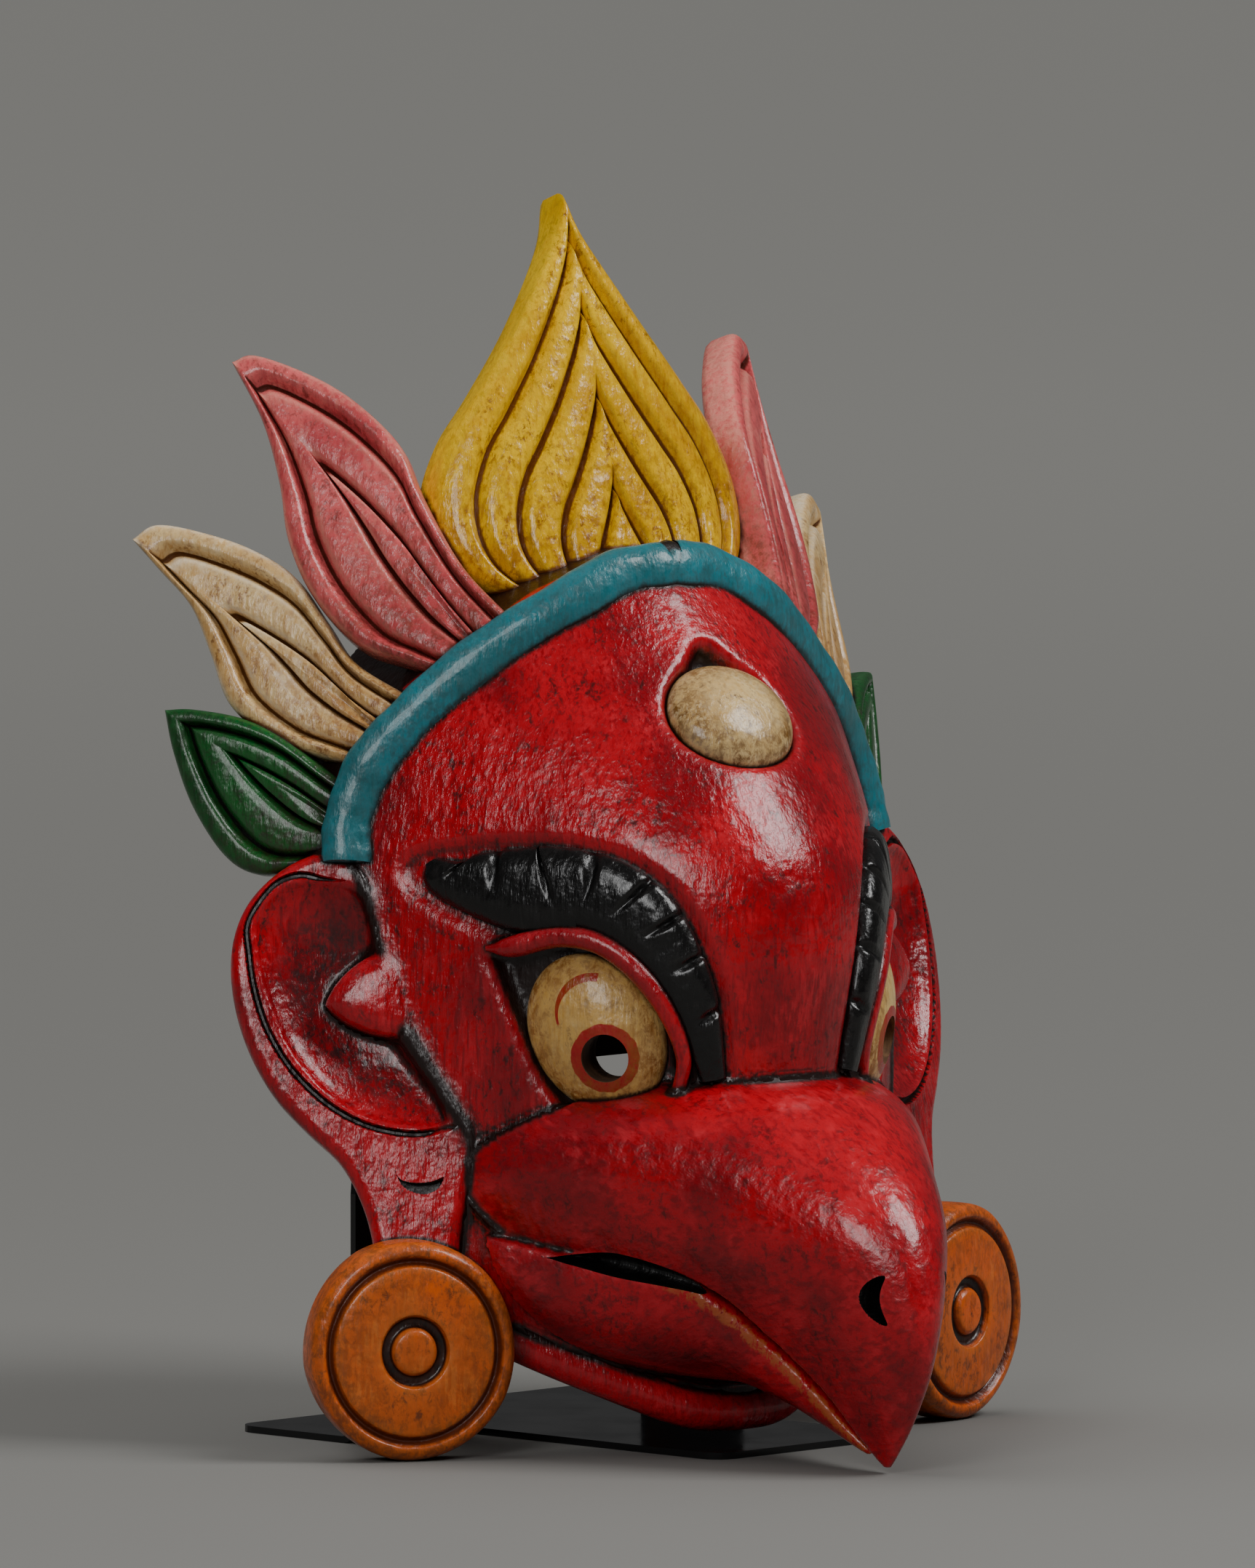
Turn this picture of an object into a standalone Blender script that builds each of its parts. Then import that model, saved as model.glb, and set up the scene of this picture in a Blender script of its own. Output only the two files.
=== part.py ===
"""Garuda mask, carved from one block of wood and painted, leaning on a bent sheet-steel stand.

Metres, +Z up. The face looks along -Y, +X is on a viewer's right, and the origin is at the
stand's underside, in the mask's centre plane. The carving is drawn in millimetres on a mask
321 mm high and scaled to MASK_HEIGHT. Walls, bores and the stand have sizes of their own.
"""

import math

import bmesh
import bpy
import numpy as np
from mathutils import Matrix, Vector

# Mask
MASK_HEIGHT = 0.321
WALL = 0.010
PUPIL_BORE_WIDTH = 0.011
PUPIL_BORE_HEIGHT = 0.013
EARRING_DIAMETER = 0.057
EARRING_THICKNESS = 0.015

# Stand
STAND_WIDTH = 0.145
STAND_SHEET = 0.0018
STAND_FOOT_DEPTH = 0.044
STAND_UPRIGHT_HEIGHT = 0.101
STAND_SHOULDER_RADIUS = 0.036
STAND_CORNER_RADIUS = 0.006
STAND_BEND_RADIUS = 0.003
TONGUE_WIDTH = 0.068
TONGUE_CUT = 0.0015
STAND_TOP_BAR = 0.0065
# The tongue is pressed out of the upright, up to the bar over its window
TONGUE_LENGTH = STAND_UPRIGHT_HEIGHT - STAND_TOP_BAR - TONGUE_CUT
STAND_TURN = math.radians(12.0)
STAND_CLEARANCE = 0.0008
STAND_ASIDE = -0.006
STAND_SHOULDER_STEPS = 9

# The drawing's height and the scale from it
DRAWN_HEIGHT = 321.0
DRAWN = MASK_HEIGHT / DRAWN_HEIGHT

# Head form: height, half width, front of the face, face edge, back rim, fullness of the plan curve
HEAD_LEVELS = (
    (9, 8, -17, -10, -4, 2.0),
    (22, 38, -24, -4, 5, 2.0),
    (45, 68, -30, 8, 24, 2.2),
    (75, 77, -40, 20, 40, 2.4),
    (105, 83.5, -46, 28, 49, 2.75),
    (130, 87.5, -49, 37, 60, 2.8),
    (153.6, 86.5, -45, 44.5, 65, 2.55),
    (180, 76.6, -28, 44, 71, 2.3),
    (196, 63.4, -13.5, 38.3, 75, 2.1),
    (214, 42.2, 1.5, 26.6, 78, 2.0),
    (222, 30.2, 8, 22.8, 79, 2.0),
    (230, 6.5, 16, 18.3, 80, 2.0),
)
HEAD_ROUNDS = 17
HEAD_SIDES = 22
HOLLOW_LEVELS = (36, 216)
HOLLOW_ROUNDS = 10
HOLLOW_SIDES = 13
HOLLOW_BACK = 140.0

# Beak stations from the brow to the tip: ridge (y, z), mouth edge (half width, y, z), arch fullness
UPPER_BEAK = (
    (-28, 101, 69, 26, 67, 0.95),
    (-46, 97.5, 66, 14, 61, 1.0),
    (-63, 93, 57, -3, 54.5, 1.05),
    (-84, 80, 42, -30, 52, 1.15),
    (-98, 65, 30, -49, 46, 1.05),
    (-105, 48, 19, -60, 34, 0.95),
    (-105, 30, 10, -71, 21, 0.9),
    (-98, 14, 4.5, -80, 9, 0.9),
    (-88.5, 1.0, 0.8, -86.5, 1.2, 0.9),
)
BEAK_ROUNDS = 15
BEAK_SIDES = 13
# Lower beak stations: keel (y, z), then its upper edge (half width, y, z)
LOWER_BEAK = (
    (-6, 20, 60, 8, 57),
    (-22, 19, 47.5, -20, 52),
    (-38, 18, 33, -43, 46.5),
    (-52, 14, 18, -57, 32),
    (-64, 9.5, 9.5, -67, 20),
    (-73, 6, 4, -75, 10),
    (-79, 3.6, 0.8, -80.5, 4.6),
)
LOWER_BEAK_ROUNDS = 10
LOWER_BEAK_SIDES = 11
LOWER_BEAK_FULLNESS = 0.9
# How far back and up the closed side of each ring lies from the mouth edge
UPPER_STEP = (1.5, 1.0)
LOWER_STEP = (3.0, 3.5)
NOSTRIL_PLACE = (13, -96, 46)
NOSTRIL_WIDTH = 2.4
NOSTRIL_HEIGHT = 6.5
NOSTRIL_BOW = 3.0
JAW_ROLL = ((-58, 9, 34), (-52, 5, 29), (-34, -6, 20), (-14, -16, 11.5), (0, -18, 10))
JAW_ROLL_RADIUS = 5.5

# Band at the hairline: outer edge (x, y, z) from the crown's middle down to the ear
BAND_EDGE = (
    (0, 18, 230.5),
    (17.9, 19.5, 227.3),
    (42.2, 26.6, 213.9),
    (63.4, 38.3, 195.9),
    (76.6, 43.9, 180),
    (83.7, 46, 164),
    (85.7, 44.5, 152),
)
BAND_WIDTH = 14.0
BAND_OVERHANG = 3.0
BAND_RISE = 4.5

# Brow, lid and eye on the right half: (x, z) on the face, with the brow's half width
BROW = (
    (69, 152.5, 1.5),
    (64.8, 148.5, 7),
    (53.5, 146, 11.8),
    (45, 146, 11),
    (38, 141, 9),
    (31.6, 131.5, 6.6),
    (25.6, 117, 4.8),
    (21, 98.6, 3),
)
BROW_RISE = 4.2
BROW_SINK = 1.0
BROW_NOTCHES = 7
LID = ((61.8, 131), (58, 131.6), (49.5, 135), (41.5, 131.8), (32.8, 119.5), (27.6, 105), (28.5, 94))
LID_RADIUS = 3.0
LID_LIFT = 0.4
EYE_PLACE = (44.8, 109.5)
EYE_RADII = (17.5, 21.5, 9.0)
EYE_SINK = 5.0
SOCKET_MARGIN = (2.0, 1.5)
SOCKET_DEPTH = 6.0
EYE_TILT = math.radians(-30)
PUPIL_PLACE = (42, 104)
THIRD_EYE_PLACE = (0, 191)
THIRD_EYE_RADII = (17.5, 17, 9)
THIRD_EYE_SINK = 4.0
PIT_RADII = (21, 19, 8)

# Ear on the right half
EAR_ROOT = (78, 22, 105)
EAR_NORMAL = (0.58, -0.787, 0.207)
EAR_THICKNESS = 13.0
EAR_OUTLINE = (
    (10, 47), (19.5, 50.5), (29, 47), (37, 40), (41.5, 32), (43.3, 22), (42, 10), (38, -2), (31.5, -13),
    (23, -22), (14.5, -30), (9, -40), (6, -50), (4, -62), (-14, -60), (-17, -46), (-20, -30),
    (-22, -16), (-18, 0), (-12, 16), (-6, 32),
)
CONCHA_OUTLINE = (
    (5, 35), (11, 40), (22, 41), (32, 35), (37.5, 26), (37, 14), (32.5, 2.5), (26, -7), (18, -14.5),
    (8, -18.5), (-3, -19.5), (-14, -19), (-10, -8), (-3, 6), (1.5, 20),
)
TRAGUS = ((17.5, 11.4), (6, 24), (-10, 24), (-12, 1), (2, 2))
TRAGUS_MIDDLE = (0, 13)
TRAGUS_RISE = 3.5
CONCHA_DEPTH = 8.0
# The bowl deepens from the cheek outward, between these places across the ear
CONCHA_RISE = (-10, 22)
CONCHA_SHALLOW = 0.15
LOBE_SLIT = ((0, -29), (-5, -33), (-12, -30), (-13, -33), (-7, -37), (0, -34.5))
EARRING_TURN = math.radians(22)
EARRING_PLACE = (86.7, 0.5)
EARRING_SHARE_ACROSS = 0.95

# Flames: root (x, y, z), direction to the tip, front normal, then edges (along, across)
CENTRE_FLAME_THICKNESS = 12.0
CENTRE_FLAME_POINTS = 18
SIDE_FLAME_THICKNESS = 9.5
SIDE_FLAME_POINTS = 14
GROOVE_DEPTH = 2.2
GROOVE_HALF_SHARE = 0.024
FLAME_FOCUS = -3.0
CENTRE_FLAME = {
    "root": (0, 29.5, 222),
    "tip": (0, 0.31, 0.95),
    "normal": (0, -0.95, 0.31),
    "inner": (
        (104.2, 0), (92, -4.5), (71, -18), (54, -31), (42, -40.5), (28, -46.5), (14, -46), (3, -39),
        (-6, -24),
    ),
    "outer": ((-6, 24), (3, 39), (14, 46), (28, 46.5), (42, 40.5), (54, 31), (71, 18), (92, 4.5)),
    "grooves": ((0.89, 0.8), (0.71, 0.59), (0.5, 0.36), (0.27, 0.15)),
    "bend": 86.0,
}
SIDE_FLAMES = {
    "pink": {
        "root": (52, 31, 211),
        "tip": (0.289, 0.669, 0.685),
        "normal": (0.657, -0.659, 0.366),
        "inner": ((98, 0), (95, -6), (80, -14), (66, -18), (50, -19), (36, -15), (14, -11), (-8, -12)),
        "outer": ((-8, 10), (4, 17), (16, 23), (34, 23.5), (50, 19), (64, 11), (80, 4)),
        "grooves": ((0.9, 0.7), (0.62, 0.16)),
        "bend": 0.0,
    },
    "cream": {
        "root": (73, 44, 188),
        "tip": (0.429, 0.715, 0.552),
        "normal": (0.696, -0.651, 0.302),
        "inner": ((81, 0), (78, -7), (66, -13), (53, -17), (40, -18), (26, -14), (12, -10), (-8, -12)),
        "outer": ((-8, 10), (4, 15), (16, 19), (32, 18.5), (45, 11), (57, 4.5), (70, 2)),
        "grooves": ((0.88, 0.68), (0.58, 0.16)),
        "bend": 0.0,
    },
    "green": {
        "root": (84, 46, 163),
        "tip": (0.517, 0.686, 0.512),
        "normal": (0.732, -0.664, 0.151),
        "inner": ((52, 0), (46, -4), (34, -9), (22, -11), (6, -10), (-8, -10)),
        "outer": ((-8, 10), (-1, 16), (8, 22.5), (18, 23), (32, 17), (44, 8)),
        "grooves": ((0.86, 0.68), (0.6, 0.16)),
        "bend": 0.0,
    },
}


def clear_scene():
    for obj in list(bpy.data.objects):
        bpy.data.objects.remove(obj, do_unlink=True)


def paint(name, color, roughness=0.4, metallic=0.0):
    """A Principled material in a linear colour."""
    material = bpy.data.materials.new(name)
    material.use_nodes = True
    shader = material.node_tree.nodes["Principled BSDF"]
    shader.inputs["Base Color"].default_value = (*color, 1.0)
    shader.inputs["Roughness"].default_value = roughness
    shader.inputs["Metallic"].default_value = metallic
    return material


def through(points, count):
    """A smooth curve through the points, read at evenly spaced places along its list."""
    points = np.asarray(points, float)
    ends = np.vstack([2 * points[0] - points[1], points, 2 * points[-1] - points[-2]])
    places = []
    for s in np.linspace(0, len(points) - 1, count):
        first = min(int(s), len(points) - 2)
        t = s - first
        a, b, c, d = ends[first : first + 4]
        places.append(
            0.5 * (2 * b + (c - a) * t + (2 * a - 5 * b + 4 * c - d) * t**2 + (3 * b - a - 3 * c + d) * t**3)
        )
    return np.array(places)


HEAD_TABLE = through(HEAD_LEVELS, 400)


def solid(name, points, faces, material, scale=DRAWN):
    """A closed mesh from points in drawn millimetres, with its faces turned outward."""
    mesh = bpy.data.meshes.new(name)
    mesh.from_pydata([tuple(float(c) * scale for c in p) for p in points], [], faces)
    edit = bmesh.new()
    edit.from_mesh(mesh)
    bmesh.ops.remove_doubles(edit, verts=edit.verts, dist=1e-6)
    bmesh.ops.recalc_face_normals(edit, faces=edit.faces)
    edit.to_mesh(mesh)
    edit.free()
    mesh.materials.append(material)
    obj = bpy.data.objects.new(name, mesh)
    bpy.context.scene.collection.objects.link(obj)
    return obj


def loft(name, rings, material, scale=DRAWN, fans=True):
    """A closed solid through rings of as many points each, with a fan or one flat face over both ends."""
    rings = [np.asarray(ring, float) for ring in rings]
    sides = len(rings[0])
    points = list(np.vstack(rings))
    faces = []
    for r in range(len(rings) - 1):
        for i in range(sides):
            j = (i + 1) % sides
            faces.append((r * sides + i, r * sides + j, (r + 1) * sides + j, (r + 1) * sides + i))
    for start, ring in ((0, rings[0]), ((len(rings) - 1) * sides, rings[-1])):
        if not fans:
            faces.append(tuple(range(start, start + sides)))
            continue
        points.append(ring.mean(axis=0))
        centre = len(points) - 1
        faces += [(start + i, start + (i + 1) % sides, centre) for i in range(sides)]
    return solid(name, points, faces, material, scale)


def mirrored(obj, name):
    """The same solid on the other side of the centre plane."""
    mesh = obj.data.copy()
    mesh.transform(Matrix.Scale(-1, 4, (1, 0, 0)))
    mesh.flip_normals()
    twin = bpy.data.objects.new(name, mesh)
    bpy.context.scene.collection.objects.link(twin)
    return twin


def head_sizes(z):
    """The head form's half width, front, edge, rim and fullness at a height."""
    return [float(np.interp(z, HEAD_TABLE[:, 0], HEAD_TABLE[:, k])) for k in range(1, 6)]


def head_front(x, z):
    """The head form's surface as (x, y, z) at a place seen from the front."""
    half, front, edge, _, fullness = head_sizes(z)
    across = min(abs(x) / half, 0.999)
    return np.array((x, edge - (edge - front) * (1 - across**2) ** (fullness / 2), z))


def head_normal(x, z):
    """The outward normal of the head form there."""
    step = 1.0
    along_x = head_front(x + step, z) - head_front(x - step, z)
    along_z = head_front(x, z + step) - head_front(x, z - step)
    normal = np.cross(along_x, along_z)
    return normal / np.linalg.norm(normal)


def head_ring(z, sides, inset=0.0, back=None):
    """One level of the head form, or of the hollow in it when it has an inset."""
    half, front, edge, rim, fullness = head_sizes(z)
    half = max(half - inset, 1.0)
    front = min(front + inset, edge - 1.0)
    angles = np.linspace(-math.pi / 2, math.pi / 2, sides)
    ring = [
        (half * math.sin(a), edge - (edge - front) * max(math.cos(a), 0.0) ** fullness, z) for a in angles
    ]
    rim = rim if back is None else back
    ring.append((half, rim, z))
    ring.append((-half, rim, z))
    return ring


def tube(name, path, radii, material, sides=8, lift=None):
    """A round or oval bar along a path, closed at its ends."""
    path = np.asarray(path, float)
    rings = []
    for i, place in enumerate(path):
        ahead = path[min(i + 1, len(path) - 1)] - path[max(i - 1, 0)]
        ahead /= np.linalg.norm(ahead)
        up = np.array(lift[i] if lift is not None else (0, -1, 0), float)
        side = np.cross(ahead, up)
        side /= np.linalg.norm(side)
        up = np.cross(side, ahead)
        wide, tall = radii[i]
        turn = np.linspace(0, 2 * math.pi, sides, endpoint=False)
        rings.append([place + wide * math.cos(t) * side + tall * math.sin(t) * up for t in turn])
    return loft(name, rings, material)


def oval(name, centre, axes, radii, material, rounds=7, sides=12):
    """An ellipsoid with its own axes, as rings about its third axis."""
    axes = [np.asarray(a, float) for a in axes]
    rings = []
    for polar in np.linspace(0.12, math.pi - 0.12, rounds):
        ring = []
        for turn in np.linspace(0, 2 * math.pi, sides, endpoint=False):
            ring.append(
                np.asarray(centre, float)
                + radii[0] * math.sin(polar) * math.cos(turn) * axes[0]
                + radii[1] * math.sin(polar) * math.sin(turn) * axes[1]
                + radii[2] * math.cos(polar) * axes[2]
            )
        rings.append(ring)
    return loft(name, rings, material)


def face_axes(x, z, tilt=0.0):
    """Axes on the head form at a place: across, up and outward, turned by a tilt."""
    outward = head_normal(x, z)
    across = np.cross((0, 0, 1), outward)
    across /= np.linalg.norm(across)
    up = np.cross(outward, across)
    turned_across = math.cos(tilt) * across + math.sin(tilt) * up
    turned_up = -math.sin(tilt) * across + math.cos(tilt) * up
    return turned_across, turned_up, outward


def relief_slab(name, shape, material, thickness, edge_points):
    """A flame: a thick leaf with grooves that follow its outline, nested towards its root."""
    root = np.array(shape["root"], float)
    along = np.array(shape["tip"], float)
    along /= np.linalg.norm(along)
    outward = np.array(shape["normal"], float)
    outward -= outward @ along * along
    outward /= np.linalg.norm(outward)
    across = np.cross(along, outward)
    if across[0] < 0:
        across = -across
    inner = through(shape["inner"], edge_points // 2 + 1)
    outer = through((*shape["outer"], shape["inner"][0]), edge_points // 2 + 1)
    outline = np.vstack([inner, outer[:-1]])

    def place(scale_along, scale_across, depth):
        ring = []
        for u, v in outline:
            u, v = FLAME_FOCUS + (u - FLAME_FOCUS) * scale_along, v * scale_across
            fall = v * v / (2 * shape["bend"]) if shape["bend"] else 0.0
            ring.append(root + u * along + v * across + (depth - fall) * outward)
        return ring

    rings = [place(0.96, 0.93, -thickness), place(1.0, 1.0, -thickness + 2.5), place(1.0, 1.0, -2.5)]
    rings.append(place(0.985, 0.95, 0.0))
    for scale_along, scale_across in shape["grooves"]:
        half = GROOVE_HALF_SHARE
        rings.append(place(scale_along + half, scale_across + 1.8 * half, 0.6))
        rings.append(place(scale_along, scale_across, -GROOVE_DEPTH))
        rings.append(place(scale_along - half, max(scale_across - 1.8 * half, 0.02), 0.6))
    return loft(name, rings, material)


def inset(outline, distance):
    """A flat outline moved in by a distance along its own normals."""
    ahead = np.roll(outline, -1, axis=0) - np.roll(outline, 1, axis=0)
    normals = np.stack([-ahead[:, 1], ahead[:, 0]], axis=1)
    normals /= np.linalg.norm(normals, axis=1)[:, None]
    following = np.roll(outline, -1, axis=0)
    area = np.sum(outline[:, 0] * following[:, 1] - following[:, 0] * outline[:, 1])
    return outline + math.copysign(distance, area) * normals


def ear_axes():
    outward = np.array(EAR_NORMAL, float)
    outward /= np.linalg.norm(outward)
    across = np.cross((0, 0, 1), outward)
    across *= math.copysign(1 / np.linalg.norm(across), across[0])
    up = np.cross(outward, across)
    return across, up * math.copysign(1, up[2]), outward


def on_ear(u, v, depth=0.0):
    """A point in the right ear's plane: across and up from its root, and out of it."""
    across, up, outward = ear_axes()
    return np.array(EAR_ROOT, float) + u * across + v * up + depth * outward


def ear(wood):
    """The right ear: a thick leaf in its own plane."""
    outline = through((*EAR_OUTLINE, EAR_OUTLINE[0]), 34)[:-1]
    levels = ((2.5, -EAR_THICKNESS), (0, -EAR_THICKNESS + 3), (0, -2.5), (2.0, 0))
    rings = [[on_ear(u, v, depth) for u, v in inset(outline, distance)] for distance, depth in levels]
    return loft("ear right", rings, wood, fans=False)


def concha_cutter(wood):
    """The hollow of the ear, inside its raised rim and shallow against the cheek."""
    outline = through((*CONCHA_OUTLINE, CONCHA_OUTLINE[0]), 21)[:-1]
    middle = outline.mean(axis=0)
    rings = []
    for scale, depth in ((1.0, 6), (1.0, -1), (0.88, -5), (0.5, -CONCHA_DEPTH)):
        ring = []
        for u, v in middle + scale * (outline - middle):
            share = min(1.0, max(CONCHA_SHALLOW, (u - CONCHA_RISE[0]) / (CONCHA_RISE[1] - CONCHA_RISE[0])))
            ring.append(on_ear(u, v, depth if depth > 0 else depth * share))
        rings.append(ring)
    return loft("concha cutter", rings, wood)


def slit_cutter(wood):
    outline = through((*LOBE_SLIT, LOBE_SLIT[0]), 13)[:-1]
    rings = [[on_ear(u, v, depth) for u, v in outline] for depth in (5, -4)]
    return loft("lobe slit cutter", rings, wood, fans=False)


def tragus(wood):
    """The pointed flap in front of the ear's hollow."""
    middle = np.array(TRAGUS_MIDDLE, float)
    rings = []
    for size, depth in ((1.0, -CONCHA_DEPTH - 2), (1.0, -1), (0.55, TRAGUS_RISE)):
        rings.append([on_ear(*(middle + size * (np.array(corner) - middle)), depth) for corner in TRAGUS])
    return loft("tragus right", rings, wood)


def earring(wood):
    """A turned disc with a groove inside its rim and another round its middle."""
    radius = EARRING_DIAMETER / 2 / DRAWN
    thick = EARRING_THICKNESS / DRAWN
    outward = np.array((math.sin(EARRING_TURN), -math.cos(EARRING_TURN), 0.0))
    across = np.array((math.cos(EARRING_TURN), math.sin(EARRING_TURN), 0.0))
    up = np.array((0.0, 0.0, 1.0))
    centre = np.array((*EARRING_PLACE, radius))
    profile = (
        (0.9, -thick), (1.0, -thick + 2.5), (1.0, -3.0), (0.95, -0.8), (0.87, 0.0), (0.83, -1.8),
        (0.78, -0.2), (0.34, 0.6), (0.29, -1.6), (0.22, -1.6), (0.18, 0.6),
    )
    turns = np.linspace(0, 2 * math.pi, 20, endpoint=False) - math.pi / 2
    around = [EARRING_SHARE_ACROSS * math.cos(t) * across + math.sin(t) * up for t in turns]
    rings = [[centre + radius * share * way + depth * outward for way in around] for share, depth in profile]
    return loft("earring right", rings, wood)


def head(wood):
    levels = np.linspace(HEAD_LEVELS[0][0], HEAD_LEVELS[-1][0], HEAD_ROUNDS)
    return loft("head", [head_ring(z, HEAD_SIDES) for z in levels], wood)


def hollow_cutter(wood):
    """The space behind the face, a wall inside the head form and open at the back."""
    wall = WALL / DRAWN
    lowest, highest = HOLLOW_LEVELS
    rings = []
    for z in np.linspace(lowest, highest, HOLLOW_ROUNDS):
        rings.append(head_ring(z, HOLLOW_SIDES, inset=wall, back=HOLLOW_BACK))
    return loft("hollow cutter", rings, wood)


def beak_ring(crown, half_width, edge, sides, fullness, inside):
    """An arch from one mouth edge over a crown to the other, closed by a step inside the mouth."""
    crown, edge = np.array((0, *crown), float), np.array((0, *edge), float)
    ring = []
    for a in np.linspace(-math.pi / 2, math.pi / 2, sides):
        rise = max(math.cos(a), 0.0) ** fullness
        ring.append(edge + (crown - edge) * rise + (half_width * math.sin(a), 0, 0))
    for side in (1, -1):
        ring.append(edge + (side * half_width / 2, *inside))
    return ring


def upper_beak(wood):
    rings = []
    for *crown, half_width, edge_y, edge_z, fullness in through(UPPER_BEAK, BEAK_ROUNDS):
        rings.append(beak_ring(crown, half_width, (edge_y, edge_z), BEAK_SIDES, fullness, UPPER_STEP))
    return loft("upper beak", rings, wood)


def lower_beak(wood):
    rings = []
    for *keel, half_width, edge_y, edge_z in through(LOWER_BEAK, LOWER_BEAK_ROUNDS):
        rings.append(
            beak_ring(keel, half_width, (edge_y, edge_z), LOWER_BEAK_SIDES, LOWER_BEAK_FULLNESS, LOWER_STEP)
        )
    return loft("lower beak", rings, wood)


def jaw_roll(wood):
    half = through(JAW_ROLL, 7)
    path = np.vstack([half, half[-2::-1] * (-1, 1, 1)])
    taper = np.ones(len(path))
    taper[[0, -1]] = 0.35
    taper[[1, -2]] = 0.8
    radii = [(JAW_ROLL_RADIUS * share, JAW_ROLL_RADIUS * share) for share in taper]
    return tube("jaw roll", path, radii, wood, 8)


def band(blue):
    """The headband, a low rounded bar along the edge of the face."""
    edge = through(BAND_EDGE, 11)
    path, lift = [], []
    for i, (x, y, z) in enumerate(edge):
        ahead = edge[min(i + 1, len(edge) - 1)] - edge[max(i - 1, 0)]
        inward = np.array((-ahead[2], 0, ahead[0])) / math.hypot(ahead[0], ahead[2])
        inward *= -math.copysign(1, inward[2])
        place = np.array((x, y, z)) + (0.5 * BAND_WIDTH - BAND_OVERHANG) * inward
        path.append(head_front(place[0], place[2]))
        lift.append((inward[0] * -0.4, -0.9, 0.3))
    path[0][0] = 0.0
    left = [p * (-1, 1, 1) for p in path[:0:-1]]
    left_lift = [np.array(u) * (-1, 1, 1) for u in lift[:0:-1]]
    radii = [(BAND_WIDTH / 2, BAND_RISE)] * (2 * len(path) - 1)
    return tube("band", [*left, *path], radii, blue, 7, [*left_lift, *lift])


def brow(black):
    """The right brow: a raised crescent with notches across it."""
    line = through(BROW, 2 * BROW_NOTCHES + 1)
    lift = [head_normal(x, z) for x, z, _ in line]
    path = [head_front(x, z) - BROW_SINK * up for (x, z, _), up in zip(line, lift)]
    radii = []
    for i, (_, _, half) in enumerate(line):
        notch = 0.9 if i % 2 else 1.0
        radii.append((half * notch, BROW_RISE * (0.75 if i % 2 else 1.0)))
    return tube("brow right", path, radii, black, 7, lift)


def lid(wood):
    line = through(LID, 10)
    lift = [head_normal(x, z) for x, z in line]
    path = [head_front(x, z) + LID_LIFT * up for (x, z), up in zip(line, lift)]
    radii = [(LID_RADIUS, LID_RADIUS) for _ in line]
    radii[0] = radii[-1] = (LID_RADIUS * 0.4, LID_RADIUS * 0.4)
    return tube("lid right", path, radii, wood, 6, lift)


def eyeball(cream):
    axes = face_axes(*EYE_PLACE, EYE_TILT)
    centre = head_front(*EYE_PLACE) - EYE_SINK * axes[2]
    return oval("eyeball right", centre, axes, EYE_RADII, cream)


def socket_cutter(wood):
    axes = face_axes(*EYE_PLACE, EYE_TILT)
    centre = head_front(*EYE_PLACE) + 1.0 * axes[2]
    radii = (EYE_RADII[0] + SOCKET_MARGIN[0], EYE_RADII[1] + SOCKET_MARGIN[1], SOCKET_DEPTH)
    return oval("socket cutter", centre, axes, radii, wood)


def pupil_cutter(wood):
    """The pierced pupil, a bore from the eyeball into the hollow."""
    axes = face_axes(*PUPIL_PLACE)
    place = head_front(*PUPIL_PLACE)
    wide, tall = PUPIL_BORE_WIDTH / 2 / DRAWN, PUPIL_BORE_HEIGHT / 2 / DRAWN
    turns = np.linspace(0, 2 * math.pi, 14, endpoint=False)
    around = [wide * math.cos(t) * axes[0] + tall * math.sin(t) * axes[1] for t in turns]
    rings = []
    for depth, flare in ((14, 1.0), (-8, 1.0), (-34, 1.25)):
        rings.append([place + depth * axes[2] + flare * way for way in around])
    return loft("pupil cutter", rings, wood)


def third_eye_cutter(wood):
    """The pit round the third eye, with a pointed top."""
    axes = face_axes(*THIRD_EYE_PLACE)
    centre = head_front(*THIRD_EYE_PLACE) + 1.5 * axes[2]
    rings = []
    for depth, size in ((9, 1.0), (0, 1.0), (-5, 0.8), (-8, 0.35)):
        ring = []
        for t in np.linspace(0, 2 * math.pi, 22, endpoint=False):
            point = 0.36 * max(math.sin(t), 0.0) ** 12
            reach = size * (1 + point)
            ring.append(
                centre
                + reach * (PIT_RADII[0] * math.cos(t) * axes[0] + PIT_RADII[1] * math.sin(t) * axes[1])
                + depth * axes[2]
            )
        rings.append(ring)
    return loft("third eye cutter", rings, wood)


def third_eye(cream):
    axes = face_axes(*THIRD_EYE_PLACE)
    centre = head_front(*THIRD_EYE_PLACE) - THIRD_EYE_SINK * axes[2]
    return oval("third eye", centre, axes, THIRD_EYE_RADII, cream)


def mouth_cutter(wood):
    """The slit between the two halves of the beak."""
    half = through([(h, y, z) for _, _, h, y, z, _ in UPPER_BEAK[3:]], 12)
    path = [np.array((x + 1.0, y - 1.0, z - 1.6)) for x, y, z in half]
    radii = [(1.9 * k, 5.0 * k) for k in np.linspace(1.0, 0.25, len(path))]
    lift = [(1, -0.5, 0)] * len(path)
    return tube("mouth cutter", path, radii, wood, 8, lift)


def nostril_cutter(wood):
    """A crescent pit near the beak's tip, its horns forward."""
    rings = []
    for depth in (-7, 7):
        ring = []
        for t in np.linspace(-0.5 * math.pi, 1.5 * math.pi, 12, endpoint=False):
            forward = NOSTRIL_BOW * math.sin(t) ** 2 - NOSTRIL_WIDTH * math.cos(t)
            x, y, z = NOSTRIL_PLACE
            ring.append((x + depth, y - forward, z + NOSTRIL_HEIGHT * math.sin(t)))
        rings.append(ring)
    return loft("nostril cutter", rings, wood, fans=False)


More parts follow.
